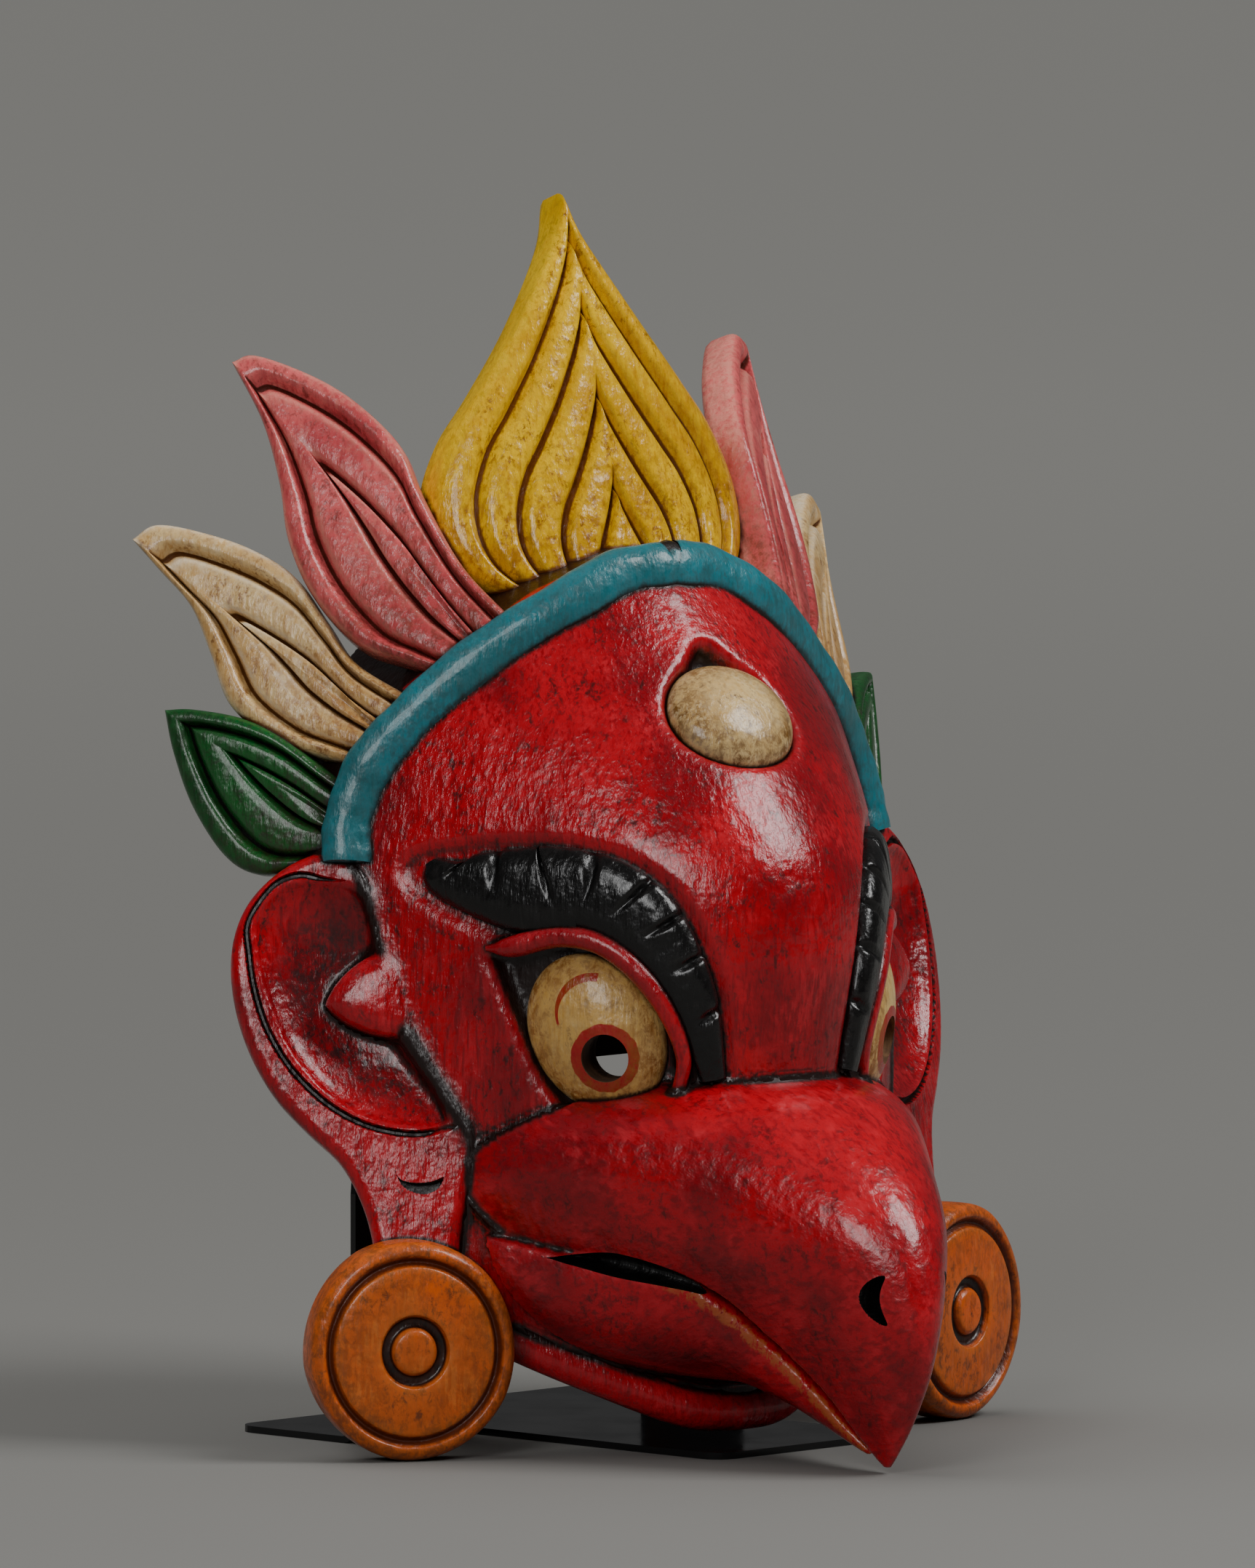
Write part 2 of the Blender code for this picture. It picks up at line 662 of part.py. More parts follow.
def join(obj, parts, operation, label):
    """Adds one exact Boolean with all of these parts, kept out of the render."""
    group = bpy.data.collections.new(label)
    bpy.context.scene.collection.children.link(group)
    for part in parts:
        bpy.context.scene.collection.objects.unlink(part)
        group.objects.link(part)
        part.hide_render = True
        part.display_type = "WIRE"
    step = obj.modifiers.new(label, "BOOLEAN")
    step.operation = operation
    step.operand_type = "COLLECTION"
    step.collection = group
    step.solver = "EXACT"
    step.material_mode = "TRANSFER"


def both(right):
    """A right-hand form and its mirror image."""
    name = right.name.replace("right", "left") if "right" in right.name else f"{right.name} twin"
    return [right, mirrored(right, name)]


def build_mask():
    red = paint("red lacquer", (0.33, 0.01, 0.012), 0.3)
    black = paint("black paint", (0.01, 0.009, 0.008), 0.35)
    cream = paint("cream paint", (0.55, 0.38, 0.17), 0.4)
    orange = paint("orange paint", (0.5, 0.13, 0.02), 0.35)
    blue = paint("blue paint", (0.01, 0.16, 0.21), 0.35)
    yellow = paint("yellow paint", (0.7, 0.42, 0.01), 0.35)
    pink = paint("pink paint", (0.62, 0.1, 0.1), 0.4)
    green = paint("green paint", (0.01, 0.1, 0.03), 0.4)
    flame_paints = {"pink": pink, "cream": cream, "green": green}

    mask = head(red)
    mask.name = "mask"
    forms = [upper_beak(red), lower_beak(red), jaw_roll(red), band(blue)]
    for whole_ear, *cutters in zip(both(ear(red)), both(concha_cutter(red)), both(slit_cutter(red))):
        join(whole_ear, cutters, "DIFFERENCE", f"{whole_ear.name} hollows")
        forms.append(whole_ear)
    forms += both(earring(orange))
    forms.append(
        relief_slab("centre flame", CENTRE_FLAME, yellow, CENTRE_FLAME_THICKNESS, CENTRE_FLAME_POINTS)
    )
    for name, shape in SIDE_FLAMES.items():
        flame = relief_slab(
            f"{name} flame right", shape, flame_paints[name], SIDE_FLAME_THICKNESS, SIDE_FLAME_POINTS
        )
        forms += both(flame)
    join(mask, forms, "UNION", "carved forms")
    hollows = [hollow_cutter(red), third_eye_cutter(red)]
    hollows += both(socket_cutter(red))
    hollows += both(mouth_cutter(red)) + both(nostril_cutter(black))
    join(mask, hollows, "DIFFERENCE", "carved hollows")
    details = [third_eye(cream)] + both(eyeball(cream)) + both(lid(red))
    details += both(brow(black)) + both(tragus(red))
    join(mask, details, "UNION", "raised details")
    join(mask, both(pupil_cutter(black)), "DIFFERENCE", "pierced pupils")
    return mask


def prism(name, outline, low, high, plane, parent, steel):
    """An upright or lying prism of a flat outline, in metres, in the stand's own axes."""
    ends = []
    for level in (low, high):
        if plane == "floor":
            ends.append([(u, v, level) for u, v in outline])
        elif plane == "front":
            ends.append([(u, level, v) for u, v in outline])
        else:
            ends.append([(level, u, v) for u, v in outline])
    sides = len(outline)
    faces = [(i, (i + 1) % sides, sides + (i + 1) % sides, sides + i) for i in range(sides)]
    faces.append(tuple(range(sides)))
    faces.append(tuple(range(sides, 2 * sides)))
    obj = solid(name, [*ends[0], *ends[1]], faces, steel, scale=1.0)
    obj.parent = parent
    return obj


def oblong(low, high):
    return [(low[0], low[1]), (high[0], low[1]), (high[0], high[1]), (low[0], high[1])]


def corner_waste(corner, along, other, radius, steps=6, margin=0.004):
    """What a corner loses when it is rounded, with a margin outside the sheet."""
    corner, along, other = (np.array(v, float) for v in (corner, along, other))
    centre = corner + radius * (along + other)
    outline = [corner + radius * along - margin * other]
    for t in np.linspace(0, math.pi / 2, steps):
        outline.append(centre - radius * (math.cos(t) * other + math.sin(t) * along))
    outline.append(corner + radius * other - margin * along)
    outline.append(corner - margin * (along + other))
    return outline


def upright_half_width(z):
    """Half the width of the stand's upright at a height in metres."""
    below = STAND_UPRIGHT_HEIGHT - z
    if below >= STAND_SHOULDER_RADIUS:
        return STAND_WIDTH / 2
    drop = STAND_SHOULDER_RADIUS - below
    return STAND_WIDTH / 2 - STAND_SHOULDER_RADIUS + math.sqrt(max(STAND_SHOULDER_RADIUS**2 - drop**2, 0.0))


def upright_place():
    """How far back the upright stands, so that the mask's back rim leans on it and clears it."""
    slope = math.tan(STAND_TURN)
    furthest = 0.0
    for z in np.linspace(0.03, STAND_UPRIGHT_HEIGHT, 60):
        half, _, _, rim, _ = head_sizes(z / DRAWN)
        half, rim = half * DRAWN, rim * DRAWN
        for side in (-1, 1):
            reach = side * STAND_ASIDE + upright_half_width(z) * math.cos(STAND_TURN)
            if reach > half - WALL - STAND_CLEARANCE:
                furthest = max(furthest, rim - (side * min(reach, half) - STAND_ASIDE) * slope)
    return furthest + STAND_CLEARANCE


def build_stand():
    """One steel sheet: a foot at the back, an upright, and a tongue cut out of it that lies forward."""
    steel = paint("black steel", (0.012, 0.012, 0.013), 0.3, 0.6)
    place = bpy.data.objects.new("stand place", None)
    bpy.context.scene.collection.objects.link(place)
    place.location = (STAND_ASIDE, upright_place(), 0)
    place.rotation_euler = (0, 0, STAND_TURN)

    half = STAND_WIDTH / 2
    outer = STAND_BEND_RADIUS + STAND_SHEET
    bend = [i * math.pi / 8 for i in range(5)]
    profile = [(STAND_FOOT_DEPTH, 0.0)]
    profile += [(outer - outer * math.sin(a), outer - outer * math.cos(a)) for a in bend]
    profile += [(0.0, STAND_UPRIGHT_HEIGHT), (STAND_SHEET, STAND_UPRIGHT_HEIGHT)]
    inner = [(outer - STAND_BEND_RADIUS * math.sin(a), outer - STAND_BEND_RADIUS * math.cos(a)) for a in bend]
    profile += inner[::-1]
    profile.append((STAND_FOOT_DEPTH, STAND_SHEET))
    stand = prism("stand", profile, -half, half, "side", place, steel)

    past_sheet = 2.2 * STAND_SHEET
    window_half = TONGUE_WIDTH / 2 + TONGUE_CUT
    window = oblong((-window_half, -past_sheet), (window_half, TONGUE_LENGTH + TONGUE_CUT))
    waste = [prism("window cutter", window, -past_sheet, outer, "front", place, steel)]
    for side in (-1, 1):
        top = (side * half, STAND_UPRIGHT_HEIGHT)
        shoulder = corner_waste(top, (-side, 0), (0, -1), STAND_SHOULDER_RADIUS, STAND_SHOULDER_STEPS)
        name = f"shoulder cutter {side}"
        waste.append(prism(name, shoulder, -past_sheet, past_sheet, "front", place, steel))
        heel = corner_waste((side * half, STAND_FOOT_DEPTH), (-side, 0), (0, -1), STAND_CORNER_RADIUS)
        waste.append(prism(f"heel cutter {side}", heel, -past_sheet, past_sheet, "floor", place, steel))
    join(stand, waste, "DIFFERENCE", "stand cut-outs")

    tongue_half = TONGUE_WIDTH / 2
    outline = oblong((-tongue_half, -TONGUE_LENGTH), (tongue_half, outer + past_sheet))
    tongue = prism("tongue", outline, 0.0, STAND_SHEET, "floor", place, steel)
    join(stand, [tongue], "UNION", "tongue")
    tips = []
    for side in (-1, 1):
        tip = corner_waste((side * tongue_half, -TONGUE_LENGTH), (-side, 0), (0, 1), STAND_CORNER_RADIUS)
        name = f"tongue corner cutter {side}"
        tips.append(prism(name, tip, -past_sheet, past_sheet, "floor", place, steel))
    join(stand, tips, "DIFFERENCE", "tongue corners")
    return stand


def main():
    clear_scene()
    build_mask()
    build_stand()


main()
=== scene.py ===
"""Garuda mask: the carved and painted looks of the wooden mask and its black steel stand.

The forms are drawn in millimetres and stored in metres.
The face looks along -Y and +X is on a viewer's right.
"""

import math

import bmesh
import bpy
import numpy as np
from mathutils import Matrix, Vector
from mathutils.bvhtree import BVHTree


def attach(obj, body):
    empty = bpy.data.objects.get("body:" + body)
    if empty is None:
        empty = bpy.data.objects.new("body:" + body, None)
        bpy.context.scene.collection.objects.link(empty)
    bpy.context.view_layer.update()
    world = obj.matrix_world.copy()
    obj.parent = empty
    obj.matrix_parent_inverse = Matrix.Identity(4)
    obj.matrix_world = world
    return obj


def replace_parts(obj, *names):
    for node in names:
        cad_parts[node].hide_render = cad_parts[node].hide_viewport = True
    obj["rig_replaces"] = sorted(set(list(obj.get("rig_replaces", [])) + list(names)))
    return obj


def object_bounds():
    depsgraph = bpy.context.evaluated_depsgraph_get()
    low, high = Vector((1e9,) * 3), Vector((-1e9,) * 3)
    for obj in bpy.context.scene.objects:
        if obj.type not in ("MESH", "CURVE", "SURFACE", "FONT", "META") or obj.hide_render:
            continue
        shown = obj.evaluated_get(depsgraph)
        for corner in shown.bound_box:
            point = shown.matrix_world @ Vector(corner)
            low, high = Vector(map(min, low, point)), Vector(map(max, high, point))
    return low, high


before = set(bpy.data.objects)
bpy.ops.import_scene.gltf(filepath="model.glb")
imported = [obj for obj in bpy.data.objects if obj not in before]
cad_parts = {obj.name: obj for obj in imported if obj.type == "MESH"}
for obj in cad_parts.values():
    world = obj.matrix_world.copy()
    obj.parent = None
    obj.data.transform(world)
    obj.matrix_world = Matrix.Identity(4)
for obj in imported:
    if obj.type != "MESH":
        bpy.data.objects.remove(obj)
CAD_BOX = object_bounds()

bl_info = {
    "name": "Garuda mask",
    "version": (1, 0, 0),
    "blender": (4, 5, 0),
    "location": "View3D > Sidebar > Mask",
    "description": "Builds a carved and painted garuda mask on its steel stand",
    "category": "Object",
}

MM = 0.001

# Head form: height, half width, front of the face, face edge, back rim, fullness of the plan curve
HEAD_LEVELS = (
    (9, 8, -17, -10, -4, 2.0),
    (22, 38, -24, -4, 5, 2.0),
    (45, 68, -30, 8, 24, 2.2),
    (75, 77, -40, 20, 40, 2.4),
    (105, 83.5, -46, 28, 49, 2.75),
    (130, 87.5, -49, 37, 60, 2.8),
    (153.6, 86.5, -45, 44.5, 65, 2.55),
    (180, 76.6, -28, 44, 71, 2.3),
    (196, 63.4, -13.5, 38.3, 75, 2.1),
    (214, 42.2, 1.5, 26.6, 78, 2.0),
    (222, 30.2, 8, 22.8, 79, 2.0),
    (230, 6.5, 16, 18.3, 80, 2.0),
)
HOLLOW_LEVELS = (36, 216)
HOLLOW_BACK = 140.0

# Beak stations from the brow to the tip: ridge (y, z), mouth edge (half width, y, z), arch fullness
UPPER_BEAK = (
    (-28, 101, 69, 26, 67, 0.95),
    (-46, 97.5, 66, 14, 61, 1.0),
    (-63, 93, 57, -3, 54.5, 1.05),
    (-84, 80, 42, -30, 52, 1.15),
    (-98, 65, 30, -49, 46, 1.05),
    (-105, 48, 19, -60, 34, 0.95),
    (-105, 30, 10, -71, 21, 0.9),
    (-98, 14, 4.5, -80, 9, 0.9),
    (-88.5, 1.0, 0.8, -86.5, 1.2, 0.9),
)
# Lower beak stations: keel (y, z), then its upper edge (half width, y, z)
LOWER_BEAK = (
    (-12, 19, 65, 2, 57),
    (-26, 18.5, 51, -20, 52),
    (-38, 18, 33, -43, 46.5),
    (-52, 14, 18, -57, 32),
    (-64, 9.5, 9.5, -67, 20),
    (-73, 6, 4, -75, 10),
    (-79, 3.6, 0.8, -80.5, 4.6),
)
LOWER_BEAK_FULLNESS = 0.9
MOUTH_CORNER = (53, -10.5, 53.8)
NOSTRIL_PLACE = (13, -96, 46)
NOSTRIL_WIDTH = 2.4
NOSTRIL_HEIGHT = 6.5
NOSTRIL_BOW = 3.0
JAW_ROLL = ((-58, 9, 34), (-52, 5, 29), (-34, -6, 20), (-14, -16, 11.5), (0, -18, 10))
JAW_ROLL_RADIUS = 5.5

# Band at the hairline: outer edge (x, y, z) from the crown's middle down to the ear
BAND_EDGE = (
    (0, 18, 230.5),
    (17.9, 19.5, 227.3),
    (42.2, 26.6, 213.9),
    (63.4, 38.3, 195.9),
    (76.6, 43.9, 180),
    (83.7, 46, 164),
    (85.7, 44.5, 152),
)

# Brow, lid and eye on the right half: (x, z) on the face, with the brow's half width
BROW = (
    (69, 152.5, 1.5),
    (64.8, 148.5, 7),
    (53.5, 146, 11.8),
    (45, 146, 11),
    (38, 141, 9),
    (31.6, 131.5, 6.6),
    (25.6, 117, 4.8),
    (21, 98.6, 3),
)
LID = ((61.8, 131), (58, 131.6), (49.5, 135), (41.5, 131.8), (32.8, 119.5), (27.6, 105), (28.5, 94))
LID_LIFT = 0.7
SOCKET = (
    (62.5, 130.5), (56, 132.5), (49, 134.5), (41, 131), (33, 119), (28, 105), (28.5, 93), (36, 86),
    (46.5, 86.5), (54, 98), (58.8, 115),
)
EYE_PLACE = (44.8, 109.5)
EYE_RADII = (17.5, 21.5, 9.0)
EYE_SINK = 5.0
EYE_TILT = math.radians(-30)
PUPIL_PLACE = (42, 104)
THIRD_EYE_PLACE = (0, 191)
THIRD_EYE_RADII = (17.5, 17, 9)
THIRD_EYE_SINK = 4.0
PIT_RADII = (19.5, 18, 8)

# Ear on the right half
EAR_ROOT = (78, 22, 105)
EAR_NORMAL = (0.58, -0.787, 0.207)
EAR_THICKNESS = 13.0
EAR_OUTLINE = (
    (10, 47), (19.5, 50.5), (29, 47), (37, 40), (41.5, 32), (43.3, 22), (42, 10), (38, -2), (31.5, -13),
    (23, -22), (14.5, -30), (9, -40), (6, -50), (4, -62), (-14, -60), (-17, -46), (-20, -30),
    (-22, -16), (-18, 0), (-12, 16), (-6, 32),
)
CONCHA_OUTLINE = (
    (11, 41), (18, 42.5), (25.5, 42.5), (32.5, 39), (36.5, 32.5), (36.5, 25.5), (35.5, 19), (33, 11.5),
    (27.5, -1), (18, -12), (7, -18.5), (-4.5, -20.5), (-13.5, -19.5), (-11, -11.5), (-5, -2.5), (-1, 4),
    (2, 14), (4.5, 24.5), (6, 31.5), (8, 37.5),
)
RIM_GROOVE = (
    (13.5, 43), (19.5, 43.5), (25.5, 44.5), (31.5, 42.5), (36, 37.5), (39, 31.5), (38.5, 24.5), (37, 15),
    (33.5, 4.5), (27, -6), (17.5, -15), (7, -20.5), (-4.5, -22.5), (-12.5, -21), (-16.5, -20),
)
TRAGUS = (
    (19, 11), (16, 16.5), (11, 21.5), (5, 24.5), (-1.5, 23.5), (-4, 12.5), (-1.5, 3.5), (6, 3.5),
    (13.5, 6.5),
)
LOBE_SLIT = (
    (1, -30.5), (-1, -34), (-4, -35), (-7.5, -35), (-10, -34.5), (-12.5, -33.5), (-11, -36.5), (-8, -38),
    (-4.5, -37.5), (-1.5, -35.5),
)
CONCHA_FOCUS = (10, 10)
CONCHA_LEVELS = (
    (1.08, 8), (1.0, -0.4), (0.965, -1.5), (0.9, -2.6), (0.8, -3.8), (0.66, -5.2), (0.5, -6.5),
    (0.3, -7.4), (0.1, -7.8),
)
TRAGUS_MIDDLE = (5, 12)
TRAGUS_LEVELS = ((1.0, -9), (1.0, -1.6), (0.97, -0.5), (0.88, 0.6), (0.68, 1.5), (0.3, 2.0))
EARRING_TURN = math.radians(22)
EARRING_PLACE = (86.7, 0.5)
EARRING_SHARE_ACROSS = 0.95

# Flames: root (x, y, z), direction to the tip, front normal, then edges (along, across)
FLAME_FOCUS = -3.0
FLAMES = {
    "centre": {
        "root": (0, 29.5, 222),
        "tip": (0, 0.31, 0.95),
        "normal": (0, -0.95, 0.31),
        "inner": (
            (104.2, 0), (92, -4.5), (71, -18), (54, -31), (42, -40.5), (28, -46.5), (14, -46), (3, -39),
            (-6, -24),
        ),
        "outer": ((-6, 24), (3, 39), (14, 46), (28, 46.5), (42, 40.5), (54, 31), (71, 18), (92, 4.5)),
        "grooves": ((0.89, 0.8), (0.71, 0.59), (0.5, 0.36), (0.27, 0.15)),
        "bend": 86.0,
        "thickness": 12.0,
    },
    "pink": {
        "root": (52, 31, 211),
        "tip": (0.289, 0.669, 0.685),
        "normal": (0.657, -0.659, 0.366),
        "inner": ((98, 0), (95, -6), (80, -14), (66, -18), (50, -19), (36, -15), (14, -11), (-8, -12)),
        "outer": ((-8, 10), (4, 17), (16, 23), (34, 23.5), (50, 19), (64, 11), (80, 4)),
        "grooves": ((0.9, 0.7), (0.62, 0.16)),
        "bend": 0.0,
        "thickness": 9.5,
    },
    "cream": {
        "root": (73, 44, 188),
        "tip": (0.429, 0.715, 0.552),
        "normal": (0.696, -0.651, 0.302),
        "inner": ((81, 0), (78, -7), (66, -13), (53, -17), (40, -18), (26, -14), (12, -10), (-8, -12)),
        "outer": ((-8, 10), (4, 15), (16, 19), (32, 18.5), (45, 11), (57, 4.5), (70, 2)),
        "grooves": ((0.88, 0.68), (0.58, 0.16)),
        "bend": 0.0,
        "thickness": 9.5,
    },
    "green": {
        "root": (84, 46, 163),
        "tip": (0.517, 0.686, 0.512),
        "normal": (0.732, -0.664, 0.151),
        "inner": ((52, 0), (46, -4), (34, -9), (22, -11), (6, -10), (-8, -10)),
        "outer": ((-8, 10), (-1, 16), (8, 22.5), (18, 23), (32, 17), (44, 8)),
        "grooves": ((0.86, 0.68), (0.6, 0.16)),
        "bend": 0.0,
        "thickness": 9.5,
    },
}


# Finishes: main, deep, pale, wax and patina, then how far edges pale, how dusty and how glossy; the wax
# colour also lays painted shade in creases and hollows, the patina colour painted shade in deep bowls and
# pits, and the pale a painted highlight on edges
FINISHES = {
    # Deep brushed red with bright highlights, for all the face's forms
    "red lacquer": ("red", "red_deep", "red_pale", "glaze_and_shade", "#35191A", 0.3, 0.9, 0.17),
    # The same red, duller where a hand has rubbed the beak and paler at its edges as rubbed paint and painted
    # highlight, with an orange line of rubbed wood and painted highlight along the lower rim
    "red lacquer with a rubbed lip": ("red", "red_deep", "red_pale", "glaze_and_shade", "#35191A", 0.5, 0.7, 0.24),
    # Chalky blue that sets the band apart from the red
    "blue paint": ("blue", "#0E4240", "#3E93A0", "#17100C", "#1C2A22", 0.6, 1.0, 0.28),
    # Warm yellow under brown varnish, the brightest form
    "yellow paint": ("yellow", "#B57A00", "#F4D010", "#643408", "#8A4E10", 0.5, 1.0, 0.16),
    # Faded pink, with pale edges of rubbed paint and painted highlight
    "pink paint": ("pink", "#A8303A", "#E89A88", "#521C12", "#6E2A1E", 0.8, 0.8, 0.2),
    # Old cream that yellows towards the roots
    "cream paint": ("cream", "#B07E38", "#F2E6CA", "#5E3612", "#8A5622", 0.8, 1.0, 0.2),
    # Dark bottle green that falls back behind the ears
    "green paint": ("green", "#0A2E17", "#3A7A48", "#0F0C08", "#35191A", 0.5, 0.7, 0.24),
    # Near black that shows only its gloss and its notches
    "black paint": ("black", "#080707", "#252221", "#050404", "#35191A", 0.4, 0.2, 0.2),
    # Cream of the eyeballs, darker and browner towards the lids
    "cream eye paint": ("#E2C078", "#B5822E", "#F2E2B4", "#3A2210", "#8A5618", 0.7, 0.7, 0.24),
    # Paler cream of the third eye, darker and browner towards its rim in the pit
    "cream third eye paint": ("#E2C68C", "#A87E3C", "#F4EACA", "#3A2210", "#6E4A1C", 0.7, 1.0, 0.2),
    # Burnt orange, palest at the rims, as rubbed paint and painted highlight
    "orange earring paint": ("orange", "#B4581C", "#E89040", "#3C1A10", "#5A260E", 0.9, 1.0, 0.3),
}

# How a pattern turns softly into a share of paint
SOFTLY = {"interpolation_type": "SMOOTHSTEP"}

# Painted stroke over a pupil: the middle and radius of its circle, and the ring round the pupil
STROKE_CENTRE = (-3.6, 11.5)
STROKE_RADIUS = 9.2
PUPIL_RING = (9.1, 8.8)
# Width of a flame's groove as a share of its length
GROOVE_SHARE = 0.026
# Height of the rounded petals between the grooves
PETAL_RISE = 0.9
# Forms whose meeting lines are rounded like one carved surface
SOFT_FORMS = ("face", "beak", "jaw_roll", "ear_", "lid")
# Grain of each remesh and the rounds of smoothing after it
FACE_SCRAPING = (1.2, 3)
BEAK_SCRAPING = (0.85, 6)
EAR_SCRAPING = (0.8, 3)
# Extra wood behind the ears' bowls, and the heights over which it comes and goes
EAR_WOOD = 10
EAR_WOOD_LOW = (68, 82)
EAR_WOOD_HIGH = (164, 152)
# Depths carved into the face
SOCKET_DEPTH = 5.0
BROW_BED_DEPTH = 1.5
PIT_DEPTH = 6.5
# Slit of the mouth: half height, depth, and its shift from the beak's edge
SLIT_HALF = 2.6
SLIT_DEPTH = 7.0
SLIT_SHIFT = (0.8, -0.8, -1.4)
# Notches along a brow, as shares of its length, and their width and depth
BROW_NOTCHES = (0.1, 0.2, 0.31, 0.42, 0.53, 0.64, 0.75, 0.87)
NOTCH_SHARE = 0.0085
NOTCH_DEPTH = 1.7
# Stage, in metres: each softbox has its place, its size and its share of the key light's power
SOFTBOXES = (
    ("key softbox", (0.9, -1.1, 1.7), (0.9, 0.9), 1.0),
    ("left fill", (-1.9, -1.5, 1.3), (0.8, 1.0), 0.7),
)
MASK_MIDDLE = (0, 0, 0.15)
CEILING_PLACE = (-0.4, 0.9, 3.0)
CEILING_POWER = 1.95
CEILING_SPREAD = 1.1
ROOM_POWER = 0.11
FLOOR_HALF = 30
# The photograph's view: turned to the left, a little above, and shifted across and up, in metres
CAMERA_TURN = math.radians(34.0)
CAMERA_RISE = math.radians(4.9)
CAMERA_DISTANCE = 6.0
CAMERA_LENS = 532.2
CAMERA_SHIFT = (-0.01765, 0.17015)
# How far apart two pieces still show a dark line of wax and painted shade, and the bends that count as hollow
# and as edge
CREASE_REACH = 0.95
HOLLOW_BEND = 0.12
EDGE_BEND = 0.1


def linear(hex_colour):
    """An sRGB hex colour as linear RGBA."""
    parts = [int(hex_colour[i : i + 2], 16) / 255 for i in (1, 3, 5)]
    return (*(c / 12.92 if c <= 0.04045 else ((c + 0.055) / 1.055) ** 2.4 for c in parts), 1.0)


def colour(name, description, hex_colour):
    """A colour field of the panel."""
    return bpy.props.FloatVectorProperty(
        name=name, description=description, subtype="COLOR", size=4, min=0, max=1, default=linear(hex_colour)
    )


def length(name, description, millimetres):
    """A length field of the panel."""
    return bpy.props.FloatProperty(
        name=name, description=description, unit="LENGTH", min=0, precision=5, default=millimetres * MM
    )


class MaskSizes(bpy.types.PropertyGroup):
    """Sizes that can be set for the carved pieces"""

    wall: length("Wall", "Thickness of the wood behind the face", 10)
    pupil_width: length("Pupil width", "Width of the pierced pupils", 12.3)
    pupil_height: length("Pupil height", "Height of the pierced pupils", 12.6)
    brow_rise: length("Brow rise", "Height of the brows above the face", 3.6)
    lid_radius: length("Lid radius", "Half the thickness of the upper lids", 3)
    band_width: length("Band width", "Width of the headband", 14)
    band_overhang: length("Band overhang", "How far the headband stands past the edge of the face", 3)
    band_rise: length("Band rise", "Height of the headband above the face", 4.5)
    earring_width: length("Earring", "Diameter of the earrings", 57)
    earring_thickness: length("Earring thickness", "Thickness of the earrings", 15)
    groove_depth: length("Flame groove", "Depth of the grooves in the flames", 2.4)
    valley_radius: length("Valley", "Radius of the valleys between carved forms", 2)


class MaskPaints(bpy.types.PropertyGroup):
    """Colours of the paints"""

    red: colour("Red", "Lacquer of the face", "#AE0418")
    red_deep: colour("Deep red", "Darker strokes in the red", "#52060E")
    # Also the pale of rubbed edges and painted highlight
    red_pale: colour("Pale red", "Red where it is thin or rubbed", "#D02C36")
    blue: colour("Blue", "Paint of the headband", "#03727F")
    yellow: colour("Yellow", "Paint of the middle flame", "#F0C000")
    pink: colour("Pink", "Paint of the first side flames", "#D45E5E")
    cream: colour("Cream", "Paint of the second side flames", "#DDBE86")
    green: colour("Green", "Paint of the lowest flames", "#005A20")
    orange: colour("Orange", "Paint of the earrings", "#DA5A0C")
    black: colour("Black", "Paint of the brows", "#0C0B0B")
    # Dark wax, and the painted shade laid in grooves and creases
    glaze_and_shade: colour("Glaze", "Dark wax left in grooves and creases", "#1A0906")


class StageLook(bpy.types.PropertyGroup):
    """Floor and light of the stage"""

    floor: colour("Floor", "Colour of the floor", "#93928E")
    key_power: bpy.props.FloatProperty(name="Key light", description="Power of the main softbox", default=37)


def sizes(field):
    """A size from the panel, in millimetres."""
    return getattr(bpy.context.scene.mask_sizes, field) / MM


def through(points, count):
    """A smooth curve through the points, read at evenly spaced places along its list."""
    points = np.asarray(points, float)
    ends = np.vstack([2 * points[0] - points[1], points, 2 * points[-1] - points[-2]])
    s = np.linspace(0, len(points) - 1, count)
    first = np.minimum(s.astype(int), len(points) - 2)
    t = (s - first)[:, None]
    a, b, c, d = (ends[first + k] for k in range(4))
    return 0.5 * (2 * b + (c - a) * t + (2 * a - 5 * b + 4 * c - d) * t**2 + (3 * b - a - 3 * c + d) * t**3)


HEAD_TABLE = through(HEAD_LEVELS, 600)


def unit(v):
    """Directions brought to a length of one."""
    v = np.asarray(v, float)
    return v / np.linalg.norm(v, axis=-1, keepdims=True)


def smooth_step(value, low, high):
    """A soft step from 0 at one value to 1 at another."""
    t = np.clip((np.asarray(value, float) - low) / (high - low), 0, 1)
    return t * t * (3 - 2 * t)


def head_sizes(z):
    """The head form's half width, front, edge, rim and fullness at heights."""
    return [np.interp(z, HEAD_TABLE[:, 0], HEAD_TABLE[:, k]) for k in range(1, 6)]


def head_front(x, z):
    """Points of the plain head form at places seen from the front."""
    x, z = np.broadcast_arrays(np.asarray(x, float), np.asarray(z, float))
    half, front, edge, _, fullness = head_sizes(z)
    across = np.minimum(np.abs(x) / half, 0.999)
    return np.stack([x, edge - (edge - front) * (1 - across**2) ** (fullness / 2), z], -1)


def head_normal(x, z):
    """Outward normals of the head form there."""
    across = head_front(x + 1.0, z) - head_front(x - 1.0, z)
    return unit(np.cross(across, head_front(x, z + 1.0) - head_front(x, z - 1.0)))


def face_axes(x, z, tilt=0.0):
    """Axes on the head form at a place: across, up and outward, turned by a tilt."""
    outward = head_normal(x, z)
    across = unit(np.cross((0, 0, 1), outward))
    up = np.cross(outward, across)
    return (
        math.cos(tilt) * across + math.sin(tilt) * up,
        -math.sin(tilt) * across + math.cos(tilt) * up,
        outward,
    )


